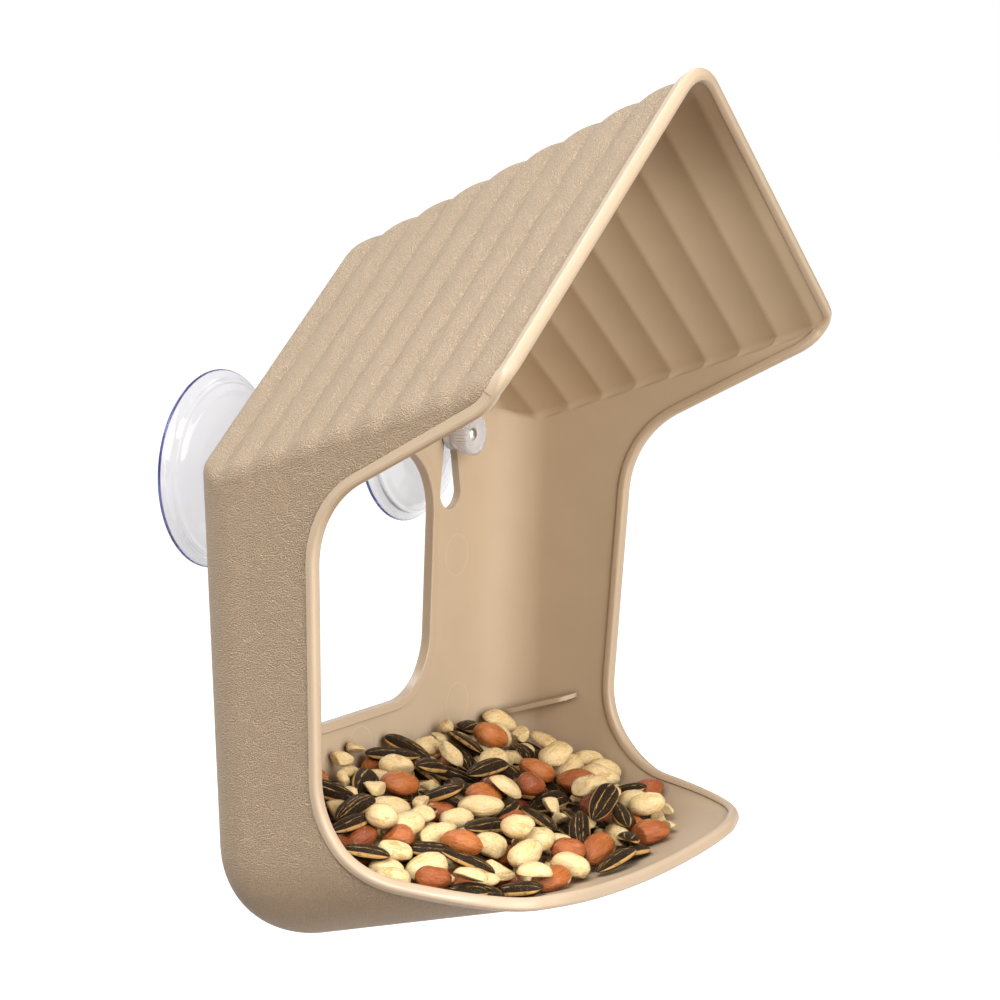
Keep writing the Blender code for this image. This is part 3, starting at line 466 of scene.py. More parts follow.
def edge_depth(place):
    """How far forward the shell reaches at a place of the section."""
    low, high = 0.030, 0.140
    while high - low > 2e-7:
        depth = (low + high) / 2
        x, z = outline_point(section(depth), place)[:2]
        limit = np.interp(z, PROFILE_Z, PROFILE_D)
        if z < NOTCH_BOTTOM[1] + PLAN_RADIUS:
            limit = min(limit, plan_limit(x))
        if depth > limit:
            high = depth
        else:
            low = depth
    return low


def spread_places(count, fine=60):
    """Places round half the section, closer together where the front edge bends."""
    places = [index / fine for index in range(STRETCHES * fine + 1)]
    depths = [edge_depth(place) for place in places]
    points, normals = [], []
    for place, depth in zip(places, depths):
        x, z, nx, nz = outline_point(section(depth), place)
        points.append(Vector((x, -depth, z)))
        normals.append(Vector((nx, 0, nz)))
    weights = [0.0]
    for index in range(1, len(points)):
        step = points[index] - points[index - 1]
        weight = step.length / 0.010 + normals[index].angle(normals[index - 1]) / radians(20)
        if index > 1:
            before = points[index - 1] - points[index - 2]
            if step.length > 0 and before.length > 0:
                weight += step.angle(before) / radians(14)
        weights.append(weights[-1] + weight)
    weights = np.array(weights)
    kernel = np.ones(9) / 9
    rates = np.convolve(np.pad(np.diff(weights), 4, mode="edge"), kernel, "valid")
    weights = np.concatenate([[0], np.cumsum(rates)])
    chosen = np.interp(np.linspace(0, weights[-1], count + 1), weights, places)
    return [(float(place), edge_depth(place)) for place in chosen]


def scallop(depth, place, edge, late=0.0):
    """Rise of the roof's ribs, which run out below the eave."""
    fade = 1 - min(max(place - EAVE - late, 0) / (1 - late), 1)
    if fade <= 0:
        return 0.0
    phase = (depth - FIRST) / ((edge - FIRST) / SCALLOPS)
    part = phase - math.floor(phase)
    return (RISE - (RISE + CREASE * min(place, 1)) * (1 - 2 * part) ** 2) * fade


def shell_point(depth, place, edge, plain=False):
    x, z, nx, nz = outline_point(section(depth), place)
    rise = 0.0 if plain else scallop(depth, place, edge)
    return Vector((x + nx * rise, -depth, z + nz * rise)), Vector((nx, 0, nz))


def shell_normal(depth, place, edge, plain=False):
    if depth <= PANEL:
        return Vector((0, 1, 0))
    turn, step = 0.01, 0.0001
    across = (shell_point(depth, min(place + turn, STRETCHES), edge, plain)[0]
              - shell_point(depth, max(place - turn, 0), edge, plain)[0])
    point, outward = shell_point(depth + step, place, edge, plain)
    normal = across.cross(point - shell_point(max(depth - step, PANEL), place, edge, plain)[0]).normalized()
    if normal.dot(outward) < 0:
        normal.negate()
    if place in (0, STRETCHES):
        normal.x = 0
        normal.normalize()
    return normal


def column_depths(edge):
    back = 18
    depths = [along(PANEL, FIRST, (row / back) ** 2) for row in range(back)]
    pitch = (edge - FIRST) / SCALLOPS
    rows = int(round(SCALLOPS * STEPS))
    depths += [FIRST + pitch * row / STEPS for row in range(rows)]
    return depths + [edge]


def shell_columns():
    """Outer and inner points from back to front, and the front edge's normal, at places all round the section."""
    columns = []
    for place, edge in spread_places(COLUMNS):
        outer, inner = [], []
        for depth in column_depths(edge):
            point, outward = shell_point(depth, place, edge)
            under = shell_point(depth, place, edge, True)[0] - shell_normal(depth, place, edge, True) * WALL
            under += outward * scallop(depth, place, edge, 0.8) * 0.45
            if place in (0, STRETCHES):
                point.x = under.x = 0
            outer.append(point)
            inner.append(under)
        columns.append((outer, inner, shell_normal(edge, place, edge)))
    mirror = Vector((-1, 1, 1))
    left = [([p * mirror for p in o], [p * mirror for p in i], n * mirror) for o, i, n in columns[-2:0:-1]]
    return columns + left


def new_piece(name, mesh):
    thing = bpy.data.objects.new(name, mesh)
    bpy.context.scene.collection.objects.link(thing)
    return thing


def mesh_from(bm, name):
    bmesh.ops.recalc_face_normals(bm, faces=bm.faces)
    mesh = bpy.data.meshes.new(name)
    bm.to_mesh(mesh)
    bm.free()
    return mesh


def ring_faces(bm, first, second, slot=0):
    for index in range(len(first)):
        after = (index + 1) % len(first)
        bm.faces.new((first[index], first[after], second[after], second[index])).material_index = slot


def tube(name, rings, slot=0, capped=False):
    """Mesh through rings of points, its ends capped or joined to each other."""
    bm = bmesh.new()
    rings = [[bm.verts.new(point) for point in ring] for ring in rings]
    for first, second in zip(rings, rings[1:]):
        ring_faces(bm, first, second, slot)
    if capped:
        for ring in (rings[0], rings[-1]):
            bm.faces.new(ring).material_index = slot
    else:
        ring_faces(bm, rings[-1], rings[0], slot)
    return new_piece(name, mesh_from(bm, name))


def panel_hole(name, loop):
    depths = PANEL - HOLE_MARGIN, PANEL + WALL + HOLE_MARGIN
    return tube(name, [[(x, -depth, z) for x, z in loop] for depth in depths], BEAD, capped=True)


def window_loop(margin):
    top, bottom, top_half, bottom_half, top_r, bottom_r = WINDOW
    lean = (top_half - bottom_half) / (top - bottom)
    corners = [(0, top + margin), (top_half + margin * (1 + lean), top + margin),
               (bottom_half + margin * (1 - lean), bottom - margin), (0, bottom - margin)]
    right = round_corners(corners, (top_r + margin, bottom_r + margin), 28)
    return right + [(-x, z) for x, z in right[-2:0:-1]]


def keyhole_loop(centre):
    big, small, drop = 0.0065, 0.0033, 0.0187
    lean = math.asin((big - small) / drop)
    loop = []
    for radius, height, start, end in ((small, 0.0, -lean, pi + lean),
                                       (big, -drop, pi + lean, 2 * pi - lean)):
        for step in range(33):
            turn = along(start, end, step / 32)
            loop.append((centre + radius * cos(turn), height + radius * sin(turn)))
    return loop


def make_body():
    """House shell with its beads, window, keyholes and ledges, joined into one mesh."""
    columns = shell_columns()
    bm = bmesh.new()
    rings = []
    for side in (0, 1):
        rings.append([[bm.verts.new(c[side][row]) for c in columns] for row in range(len(columns[0][0]))])
    for slot, layer in enumerate(rings):
        for first, second in zip(layer, layer[1:]):
            ring_faces(bm, first, second, slot)
        bm.faces.new(layer[0]).material_index = slot
    ring_faces(bm, rings[0][-1], rings[1][-1], BEAD)
    body = new_piece("feeder_shell", mesh_from(bm, "feeder_shell"))
    for material in (grain_material(), inner_material(), bead_material()):
        body.data.materials.append(material)
    joined = [front_bead(columns), window_bead(), ledge(-1), ledge(1)]
    cutters = [panel_hole("window_hole", window_loop(0)), panel_hole("keyhole_left", keyhole_loop(-CUP_X)),
               panel_hole("keyhole_right", keyhole_loop(CUP_X))]
    for tools, operation in ((joined, "UNION"), (cutters, "DIFFERENCE")):
        for tool in tools:
            modifier = body.modifiers.new(tool.name, "BOOLEAN")
            modifier.operation = operation
            modifier.solver = "EXACT"
            modifier.object = tool
            for material in body.data.materials:
                tool.data.materials.append(material)
    bpy.context.view_layer.update()
    graph = bpy.context.evaluated_depsgraph_get()
    mesh = bpy.data.meshes.new_from_object(body.evaluated_get(graph))
    body.modifiers.clear()
    body.data = mesh
    for tool in joined + cutters:
        bpy.data.objects.remove(tool)
    mesh.shade_smooth()
    mesh.set_sharp_from_angle(angle=radians(33))
    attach(body, "feeder")
    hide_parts("feeder_body")
    return body


def front_bead(columns):
    """Bead round the front edge; on the outside of the roof its back edge lies further in."""
    back, under = WIDTH - LEAD, -WALL - PROUD
    profile = [(PROUD - 0.00035, back), (PROUD - 0.00008, back - 0.00010), (PROUD, back - 0.00030), (PROUD, 0.00045),
               (PROUD + 0.00006, 0.00030), (PROUD - 0.00002, 0.00018)]
    outside, inside = 0.00120, 0.00190
    for turn in quarter(6):
        profile.append((PROUD - outside * (1 - cos(turn)), -LEAD + (LEAD + 0.0001) * (1 - sin(turn))))
    for turn in quarter(7)[1:]:
        profile.append((under + inside * (1 - sin(turn)), -LEAD + 0.00125 * (1 - cos(turn))))
    profile += [(under, back - 0.00030), (under + 0.00010, back - 0.00008), (under + 0.00035, back)]
    rings = []
    for index, (outer, _, normal) in enumerate(columns):
        tangent = columns[(index + 1) % len(columns)][0][-1] - columns[index - 1][0][-1]
        inward = normal.cross(tangent).normalized()
        if inward.dot(outer[-2] - outer[-1]) < 0:
            inward.negate()
        wider = 0.0009 * min(max((outer[-1].z + 0.025) / 0.05, 0), 1)
        rings.append([outer[-1] + normal * n + inward * (b + wider * (b > 0.001 and n > 0)) for n, b in profile])
    return tube("front_bead", rings, BEAD)


def window_bead():
    """Rounded ring round the window, proud of the inner side of the panel."""
    near, far, radius = PANEL + WALL / 2, PANEL + WALL + PROUD, 0.0005
    profile = [(WIDTH, near), (WIDTH, far - radius * 0.4), (WIDTH - radius * 0.4, far)]
    for turn in quarter(4):
        profile.append((radius - radius * sin(turn), far - radius + radius * cos(turn)))
    profile.append((0, near))
    return tube("window_bead", [[(x, -depth, z) for x, z in window_loop(margin)] for margin, depth in profile], BEAD)


def ledge(side):
    """Small shelf in the back corner of the tray, round towards the wall and with one round free corner."""
    height, front, top, thick, corner = -0.0930, 0.0460, -0.0975, 0.0015, 0.0035
    radius = WALL_BACK_R - WALL / 2
    centre_depth = PANEL + WALL_BACK_R
    centre_x = wall_x(centre_depth, height) - WALL_BACK_R
    wall_end = wall_x(front, height) - WALL / 2
    free_x = wall_x(front, height) - WALL - 0.0077
    last = math.acos((free_x - centre_x) / radius)
    loop = [(free_x + corner, front), (wall_end, front)]
    for step in range(21):
        turn = last * step / 20
        loop.append((centre_x + radius * cos(turn), centre_depth - radius * sin(turn)))
    for turn in quarter(6)[:-1]:
        loop.append((free_x + corner * (1 - cos(turn)), front - corner * (1 - sin(turn))))
    slope = 0.0090 / (front - PANEL - WALL)
    rings = [[(side * x, -d, top + slope * (d - PANEL - WALL) + drop) for x, d in loop] for drop in (0.0, -thick)]
    return tube("ledge", rings, INNER, capped=True)


# Suction cups, studs, washers and nuts
def revolve(name, profile, steps):
    """Closed turned mesh about the stud axis, from (radius, depth) points with the ends on the axis."""
    bm = bmesh.new()
    rings = []
    for radius, depth in profile:
        count = steps if radius else 1
        rings.append([bm.verts.new((radius * cos(2 * pi * s / steps), -depth,
                                    radius * sin(2 * pi * s / steps))) for s in range(count)])
    pairs = list(zip(rings, rings[1:]))
    if len(rings[0]) > 1:
        pairs.append((rings[-1], rings[0]))
    for first, second in pairs:
        for s in range(steps):
            after = (s + 1) % steps
            if len(first) == 1:
                bm.faces.new((first[0], second[s], second[after]))
            elif len(second) == 1:
                bm.faces.new((first[s], second[0], first[after]))
            else:
                bm.faces.new((first[s], first[after], second[after], second[s]))
    return new_piece(name, mesh_from(bm, name))


def on_stud(thing, side, sharp, material):
    thing.location.x = side * CUP_X
    thing.data.shade_smooth()
    thing.data.set_sharp_from_angle(angle=radians(sharp))
    thing.data.materials.append(material)
    return thing


def smooth_profile(points, radius, steps):
    """Profile with small roundings at its inner corners; the two ends stay."""
    result = [points[0]]
    for before, corner, after in zip(points, points[1:], points[2:]):
        a, b, c = Vector(before), Vector(corner), Vector(after)
        reach = min(radius, (a - b).length * 0.45, (c - b).length * 0.45)
        start, end = b + (a - b).normalized() * reach, b + (c - b).normalized() * reach
        for step in range(steps + 1):
            t = step / steps
            result.append(tuple(start * (1 - t) ** 2 + b * 2 * t * (1 - t) + end * t * t))
    return result + [points[-1]]


def make_cup(side, name):
    """Hollow dome with a neck, from (radius, depth) points in millimetres."""
    profile = [
        (0, 7.3), (2.8, 7.3), (2.8, 13.1), (6.2, 13.1), (6.2, 11.4), (8.5, 10.9), (13.0, 10.3), (16.5, 9.5),
        (19.0, 8.6), (24.2, 6.1), (25.5, 5.0), (25.9, 4.7), (26.7, 4.6), (27.1, 3.9), (27.5, 2.8), (28.4, 1.9),
        (29.6, 1.05), (30.0, 0.7), (30.0, 0.15), (29.8, 0), (28.6, 0), (25.5, 1.0), (21.0, 2.7), (15.5, 4.2),
        (10.5, 4.9), (5.0, 5.2), (0, 5.2),
    ]
    points = smooth_profile([(r * MM, h * MM) for r, h in profile], 0.0006, 3)
    cup = on_stud(revolve(name + "_cup_vinyl", points, 128), side, 40, CUP_VINYL)
    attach(cup, "cups")
    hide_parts(name + "_suction_cup")


def make_stud(side, name):
    """Threaded stud: a grid wound along a helix of 0.8 mm pitch, capped at both ends."""
    start, end, pitch = 0.0076, 0.0254, 0.0008
    around, per_turn = 36, 6
    rows = int((end - start) / pitch * per_turn)
    rings = []
    for row in range(rows + 1):
        depth = start + (end - start) * row / rows
        fade = min(1.0, (end - depth) / 0.0012)
        ring = []
        for s in range(around):
            turn = 2 * pi * s / around
            wave = abs(2 * (((depth / pitch) + s / around) % 1) - 1)
            radius = 0.0025 - 0.00046 * wave * fade - 0.0011 * (1 - fade) ** 2
            ring.append((radius * cos(turn), -depth, radius * sin(turn)))
        rings.append(ring)
    stud = on_stud(tube(name + "_stud_thread", rings, capped=True), side, 60, STUD_METAL)
    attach(stud, "cups")
    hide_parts(name + "_stud")


def make_washer(side, name):
    profile = [(2.8, 18.55), (4.9, 18.6), (5.5, 18.3), (5.5, 16.6), (5.2, 16.3), (2.8, 16.3)]
    points = [(r * MM, h * MM) for r, h in profile]
    washer = on_stud(revolve(name + "_washer_clear", points, 64), side, 40, CLEAR_PLASTIC)
    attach(washer, name + "_clamp_washer")
    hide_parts(name + "_washer")


def make_nut(side, name):
    """Thumb nut: a smooth collar behind a finely ribbed head with a dished front.

    The profile gives radius and depth in millimetres, and how much of the ribs' depth applies there.
    """
    teeth, per = 44, 6
    steps = teeth * per
    profile = [(2.6, 24.3, 0), (1.9, 24.7, 0), (2.3, 24.9, 0), (3.6, 25.1, 0.4), (4.8, 25.6, 1), (5.7, 26.1, 1.2),
               (6.2, 26.2, 1.0), (6.7, 25.9, 1.0),
               (6.95, 25.3, 1), (7.0, 24.6, 1), (7.0, 22.6, 1), (6.9, 22.0, 1), (6.5, 21.5, 0.6), (5.8, 21.25, 0.1),
               (5.45, 21.1, 0), (5.35, 20.7, 0), (5.35, 19.3, 0), (5.1, 18.95, 0), (4.8, 18.9, 0), (2.8, 18.9, 0)]
    rings = []
    for radius, depth, share in profile:
        ring = []
        for s in range(steps):
            turn = 2 * pi * s / steps
            rib = abs(sin(teeth * turn / 2)) ** 0.8
            r = (radius - 0.42 * (1 - rib) * share) * MM
            sink = 0.25 * (1 - rib) * share * (depth > 25)
            ring.append((r * cos(turn), -(depth - sink) * MM, r * sin(turn)))
        rings.append(ring)
    nut = on_stud(tube(name + "_nut_clear", rings), side, 38, CLEAR_PLASTIC)
    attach(nut, name + "_thumb_nut")
    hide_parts(name + "_nut")


# Seeds
SUNFLOWER, SKINNED, BLANCHED, HALF, CHIP = range(5)
HEAP_HALF, HEAP_TOP, HEAP_SLOPE, HEAP_BACK, HEAP_SAG = 0.0845, -0.0925, 0.300, 0.018, 0.007
CELL = 0.0006


def heap_height(x, depth):
    """Height of the heap's top, which falls towards the front and a little towards the sides."""
    side = np.minimum(np.abs(x) / HEAP_HALF, 1)
    return HEAP_TOP - HEAP_SLOPE * (depth - HEAP_BACK) - HEAP_SAG * side ** 3


def seed_form(kind, rng, length=None):
    """Points, faces, local shares and size of one seed lying along X; its length is given in millimetres."""
    around, rows = ((24, 22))
    flat = kind == HALF
    if kind == SUNFLOWER:
        length = length or rng.uniform(15.5, 18.5)
        width, thick = length * rng.uniform(0.38, 0.45), rng.uniform(3.8, 4.8)
        bend = rng.uniform(-0.4, 0.4)
    else:
        length = length or rng.uniform(11.5, 15.0)
        width, thick = min(length * rng.uniform(0.58, 0.70), 9.2), rng.uniform(6.6, 8.2)
        bend = rng.uniform(-0.9, 0.9)
    if flat:
        thick = rng.uniform(3.6, 4.8)
    if kind == CHIP:
        length = rng.uniform(6.0, 9.5)
        width, thick = length * rng.uniform(0.6, 0.8), length * rng.uniform(0.45, 0.6)
    dent, waves = rng.uniform(0.0, 0.10), [rng.uniform(0, 6.3) for _ in range(4)]
    cuts = []
    for _ in range(rng.choice(((0,), (0, 0, 1), (0, 1, 1, 2), (1, 1, 2), (3, 4, 5))[kind])):
        way = Vector((rng.uniform(-1, 1), rng.gauss(0, 0.5), rng.gauss(0, 0.5))).normalized()
        cuts.append((way, rng.uniform(0.40, 0.75) * (0.75 if kind == CHIP else 1)))
    points, local = [], []
    for row in range(rows + 1):
        u = -cos(pi * row / rows)
        if kind == SUNFLOWER:
            w = max(1 - abs(u) ** (3.6 if u > 0 else 2.4), 0) ** (0.50 if u > 0 else 0.68) * (1 + 0.08 * u)
            h = max(1 - abs(u) ** (3.0 if u > 0 else 2.2), 0) ** 0.75 * (1 + 0.10 * u)
        else:
            w = max(1 - abs(u) ** 2.25, 0) ** 0.5 * (1 + 0.07 * u)
            nib = max(u - 0.72, 0) / 0.28
            w *= 1 - 0.28 * nib * nib
            h = w * (1 - 0.06 * u)
        for step in range(around):
            turn = 2 * pi * step / around
            cy, cz = cos(turn), sin(turn)
            y, z = w * cy, h * cz
            if kind == SUNFLOWER:
                z *= 0.62 + 0.38 * abs(cz) ** 0.6
            elif flat and cz < 0:
                z *= 0.10 + 0.10 * abs(cy)
            elif kind == BLANCHED:
                z *= 1 - dent * max(0, 1 - (cy / 0.25) ** 2)
            swell = 1 + (0.050 if kind else 0.02) * sin(3.0 * u + 2.0 * cy + waves[0])
            swell += (0.035 if kind else 0.02) * sin(4.5 * cz + 2.5 * u + waves[1])
            swell += (0.020 if kind else 0.0) * sin(7.0 * u + 3.0 * cz + waves[2])
            point = Vector((u, y * swell, z * swell))
            for way, reach in cuts:
                past = point.dot(way) - reach
                if past > 0:
                    point -= way * past * 0.92
            points.append(Vector((point.x * length / 2, point.y * width / 2 + bend * (1 - u * u),
                                  point.z * thick / (1.25 if flat else 2))) * MM)
            local.append((u, cy, cz))
    faces = []
    for row in range(rows):
        for step in range(around):
            a, b = row * around + step, row * around + (step + 1) % around
            faces.append((a, b, b + around, a + around))
    return points, faces, local, (length * MM, width * MM, thick * MM)


class Heap:
    """Height of the heap's surface over a grid of cells, raised by every seed laid on it."""

    def __init__(self, tree):
        self.x = np.arange(-HEAP_HALF, HEAP_HALF + CELL, CELL)
        self.d = np.arange(0.0160, 0.1195, CELL)
        self.top = np.full((len(self.x), len(self.d)), np.inf)
        for i, x in enumerate(self.x):
            for j, d in enumerate(self.d):
                hit = tree.ray_cast(Vector((x, -d, -0.100)), Vector((0, 0, -1)))[0]
                if hit is not None and hit.z > -0.142:
                    self.top[i, j] = hit.z
        self.floor = self.top.copy()
        self.cap = heap_height(*np.meshgrid(self.x, self.d, indexing="ij"))
        self.top = np.where(np.isfinite(self.top), np.maximum(self.top, self.cap - 0.0135), np.inf)

    def lay(self, x, d, turn, size):
        """Rest an ellipsoid of this size and turn at (x, d); gives its centre height and its footprint."""
        half = np.array([s / 2 for s in size])
        reach = half.max()
        i = slice(*np.searchsorted(self.x, (x - reach, x + reach)))
        j = slice(*np.searchsorted(self.d, (d - reach, d + reach)))
        if i.stop - i.start < 4 or j.stop - j.start < 4:
            return None
        R = np.array(turn)
        if d - math.sqrt((R @ np.diag(half ** 2) @ R.T)[1, 1]) < PANEL + WALL + 0.0006:
            return None
        A = R @ np.diag(1 / half ** 2) @ R.T
        gx, gd = np.meshgrid(self.x[i] - x, self.d[j] - d, indexing="ij")
        gy = -gd
        b = A[0, 2] * gx + A[1, 2] * gy
        c = A[0, 0] * gx ** 2 + 2 * A[0, 1] * gx * gy + A[1, 1] * gy ** 2 - 1
        disc = b * b - A[2, 2] * c
        inside = disc > 0
        if not inside.any():
            return None
        root = np.sqrt(np.where(inside, disc, 0))
        low, high = (-b - root) / A[2, 2], (-b + root) / A[2, 2]
        rest = (self.top[i, j] - low)[inside].max()
        return rest, (i, j, inside, high)

    def raise_to(self, rest, foot, share):
        i, j, inside, high = foot
        block = self.top[i, j]
        self.top[i, j] = np.where(inside, np.maximum(block, rest + high * share), block)


# Seeds that show in the photograph, as picture points. Sunflower seeds: both ends.
SEEN_HULLS = [
    (445, 724, 485, 757), (528, 761, 555, 736), (493, 738, 533, 764), (519, 734, 534, 748), (545, 767, 561, 747),
    (613, 751, 633, 763), (412, 745, 436, 752), (414, 764, 441, 757), (349, 785, 378, 752), (515, 765, 559, 773),
    (475, 769, 514, 759), (448, 752, 465, 790), (418, 780, 448, 790), (605, 775, 650, 792), (559, 785, 595, 819),
    (526, 793, 557, 824), (490, 801, 518, 795), (602, 824, 617, 797), (619, 792, 633, 819), (555, 807, 573, 828),
    (461, 824, 515, 814), (332, 816, 376, 799), (337, 826, 393, 802), (333, 829, 366, 818), (413, 834, 441, 841),
    (351, 848, 378, 855), (405, 807, 434, 799), (538, 790, 566, 782), (429, 851, 482, 872), (618, 843, 664, 832),
    (588, 867, 642, 843), (451, 871, 502, 889), (491, 867, 542, 890), (440, 884, 486, 888),
]
# Kernels: kind, middle, width and height as seen; 1 is with its skin, 2 blanched and 3 a half.
SEEN_KERNELS = [
    (1, 404, 778, 36, 24), (1, 491, 733, 45, 22), (1, 591, 746, 39, 22), (1, 579, 776, 48, 23), (1, 659, 785, 30, 28),
    (1, 648, 819, 36, 24), (1, 459, 838, 41, 25), (1, 400, 836, 28, 24), (1, 547, 867, 39, 29), (1, 566, 841, 36, 20),
    (1, 599, 836, 39, 24), (1, 533, 786, 24, 20), (1, 481, 787, 26, 20), (1, 514, 811, 26, 20), (1, 360, 831, 26, 20),
    (1, 437, 876, 30, 20), (1, 498, 774, 26, 18), (1, 344, 838, 26, 20), (1, 597, 804, 22, 18),
    (3, 385, 790, 48, 28), (2, 395, 759, 34, 22), (2, 451, 805, 32, 34), (2, 478, 801, 42, 24), (3, 503, 786, 36, 18),
    (3, 499, 753, 30, 20), (2, 606, 763, 44, 22), (2, 652, 803, 34, 27), (2, 400, 820, 44, 28), (2, 387, 851, 34, 27),
    (2, 422, 851, 32, 26), (3, 490, 855, 46, 27), (2, 491, 838, 27, 24), (2, 519, 837, 32, 27), (2, 518, 852, 27, 28),
    (2, 573, 858, 39, 36), (2, 539, 836, 30, 24), (3, 533, 873, 34, 24), (3, 410, 873, 34, 24), (2, 436, 824, 34, 24),
    (2, 341, 795, 30, 24), (3, 567, 758, 30, 20), (2, 580, 759, 28, 20), (2, 376, 830, 34, 26), (2, 591, 795, 30, 24),
    (3, 611, 791, 28, 22), (3, 555, 831, 28, 18), (3, 465, 890, 34, 20), (3, 485, 891, 30, 18), (2, 377, 864, 32, 24),
    (2, 393, 870, 32, 22), (3, 422, 811, 34, 22), (2, 636, 793, 26, 22),
]


def on_heap(px, py):
    """Point seen at a picture point, half a seed above the heap's top."""
    ray = (view.to_3x3() @ Vector(((px - MIDDLE) / FOCAL, -(py - MIDDLE) / FOCAL, -1))).normalized()
    near, far = 0.85, 1.5
    while far - near > 1e-5:
        reach = (near + far) / 2
        point = view.translation + ray * reach
        if point.z > float(heap_height(point.x, -point.y)) + 0.0020:
            near = reach
        else:
            far = reach
    return point


def seen_seeds(rng):
    """Kind, place, heading and length in millimetres of each seed in the photograph."""
    seeds = []
    for x0, y0, x1, y1 in SEEN_HULLS:
        seeds.append((SUNFLOWER, on_heap(x0, y0), on_heap(x1, y1), 15.5, 18.8))
    for kind, x, y, width, height in SEEN_KERNELS:
        slope = rng.uniform(-0.25, 0.25) * height
        ends = on_heap(x - width / 2, y - slope), on_heap(x + width / 2, y + slope)
        seeds.append((kind, *ends, 11.0, 15.5))
    rng.shuffle(seeds)
    result = []
    for kind, first, last, least, most in seeds:
        middle, way = (first + last) / 2, last - first
        length = min(max(math.hypot(way.x, way.y) / MM * 1.04, least), most)
        result.append((kind, middle.x, -middle.y, math.atan2(way.y, way.x), length))
    return result


def seed_turn(yaw, rng, lean):
    up = Vector((rng.gauss(0, lean), rng.gauss(-0.28, lean), 1)).normalized()
    base = Vector((0, 0, 1)).rotation_difference(up).to_matrix()
    return base @ Matrix.Rotation(yaw, 3, "Z") @ Matrix.Rotation(rng.gauss(0, lean), 3, "X")


def settle(heap, rng, kind, form, best, share, laid):
    """Lay a seed at the best place found, and raise the heap there by a share of its height."""
    _, (rest, foot), x, d, turned = best
    heap.raise_to(rest, foot, share)
    laid.append((kind, form, Matrix.Translation((x, -d, rest)) @ turned.to_4x4(), rng.random()))


def scatter(heap, rng, order, tries, highest, lean, laid):
    """Drop seeds where the heap is lowest, as long as they stay under its top."""
    for kind in order:
        form = seed_form(kind, rng)
        best = None
        for _ in range(tries):
            x, d = rng.uniform(-0.081, 0.081), rng.uniform(0.019, 0.113)
            turned = seed_turn(rng.uniform(0, 2 * pi), rng, lean)
            found = heap.lay(x, d, turned, form[3])
            if found is None or not np.isfinite(found[0]):
                continue
            over = found[0] - float(heap_height(x, d))
            if over < highest and (best is None or over < best[0]):
                best = (over, found, x, d, turned)
        if best:
            settle(heap, rng, kind, form, best, 0.9, laid)


def mixed(rng, *counts):
    order = [kind for kind, count in enumerate(counts) for _ in range(count)]
    rng.shuffle(order)
    return order


def make_seeds(body):
    """Fill the tray: hidden seeds first, then those that show, then loose ones in the gaps."""
    graph = bpy.context.evaluated_depsgraph_get()
    bm = bmesh.new()
    bm.from_object(body, graph)
    tree = BVHTree.FromBMesh(bm)
    bm.free()
    heap = Heap(tree)
    rng = random.Random(5)
    laid = []
    scatter(heap, rng, mixed(rng, 70, 40, 50, 24), 14, -0.0048, 0.20, laid)
    for kind, x, d, yaw, length in seen_seeds(rng):
        form = seed_form(kind, rng, length)
        best = None
        for attempt in range(40):
            turned = seed_turn(yaw + rng.gauss(0, 0.10), rng, 0.20)
            inward = rng.uniform(0, 0.0002 * attempt) * (-1 if x > 0 else 1)
            px, pd = x + inward + rng.gauss(0, 0.0006), d + rng.gauss(0, 0.0006)
            found = heap.lay(px, pd, turned, form[3])
            if found and np.isfinite(found[0]):
                over = found[0] - float(heap_height(px, pd)) + attempt * 0.00002
                if best is None or over < best[0]:
                    best = (over, found, px, pd, turned)
        if best and best[0] < 0.0062:
            settle(heap, rng, kind, form, best, 0.85, laid)
    scatter(heap, rng, mixed(rng, 26, 12, 14, 12, 60), 30, 0.0002, 0.25, laid)
    for kind, name in enumerate(("sunflower_seeds", "skinned_kernels", "blanched_kernels", "kernel_halves")):
        join_seeds(name, [seed for seed in laid if min(seed[0], HALF) == kind], SEED_MATERIALS[min(kind, BLANCHED)])
    make_crumbs(heap)


def join_seeds(name, seeds, material):
    verts, faces, local, own = [], [], [], []
    for _, (points, quads, shares, _), place, number in seeds:
        base = len(verts)
        verts += [place @ p for p in points]
        faces += [tuple(base + index for index in quad) for quad in quads]
        local += shares
        own += [number] * len(points)
    mesh = bpy.data.meshes.new(name)
    mesh.from_pydata([tuple(v) for v in verts], [], faces)
    mesh.attributes.new("local", "FLOAT_VECTOR", "POINT").data.foreach_set("vector", np.array(local, "f").ravel())
    mesh.attributes.new("own", "FLOAT", "POINT").data.foreach_set("value", np.array(own, "f"))
    mesh.shade_smooth()
    bm = bmesh.new()
    bm.from_mesh(mesh)
    bmesh.ops.remove_doubles(bm, verts=bm.verts, dist=0.000004)
    bmesh.ops.recalc_face_normals(bm, faces=bm.faces)
    bm.to_mesh(mesh)
    bm.free()
    thing = new_piece(name, mesh)
    mesh.materials.append(material)
    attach(thing, "feeder")
    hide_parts("seed_heap")


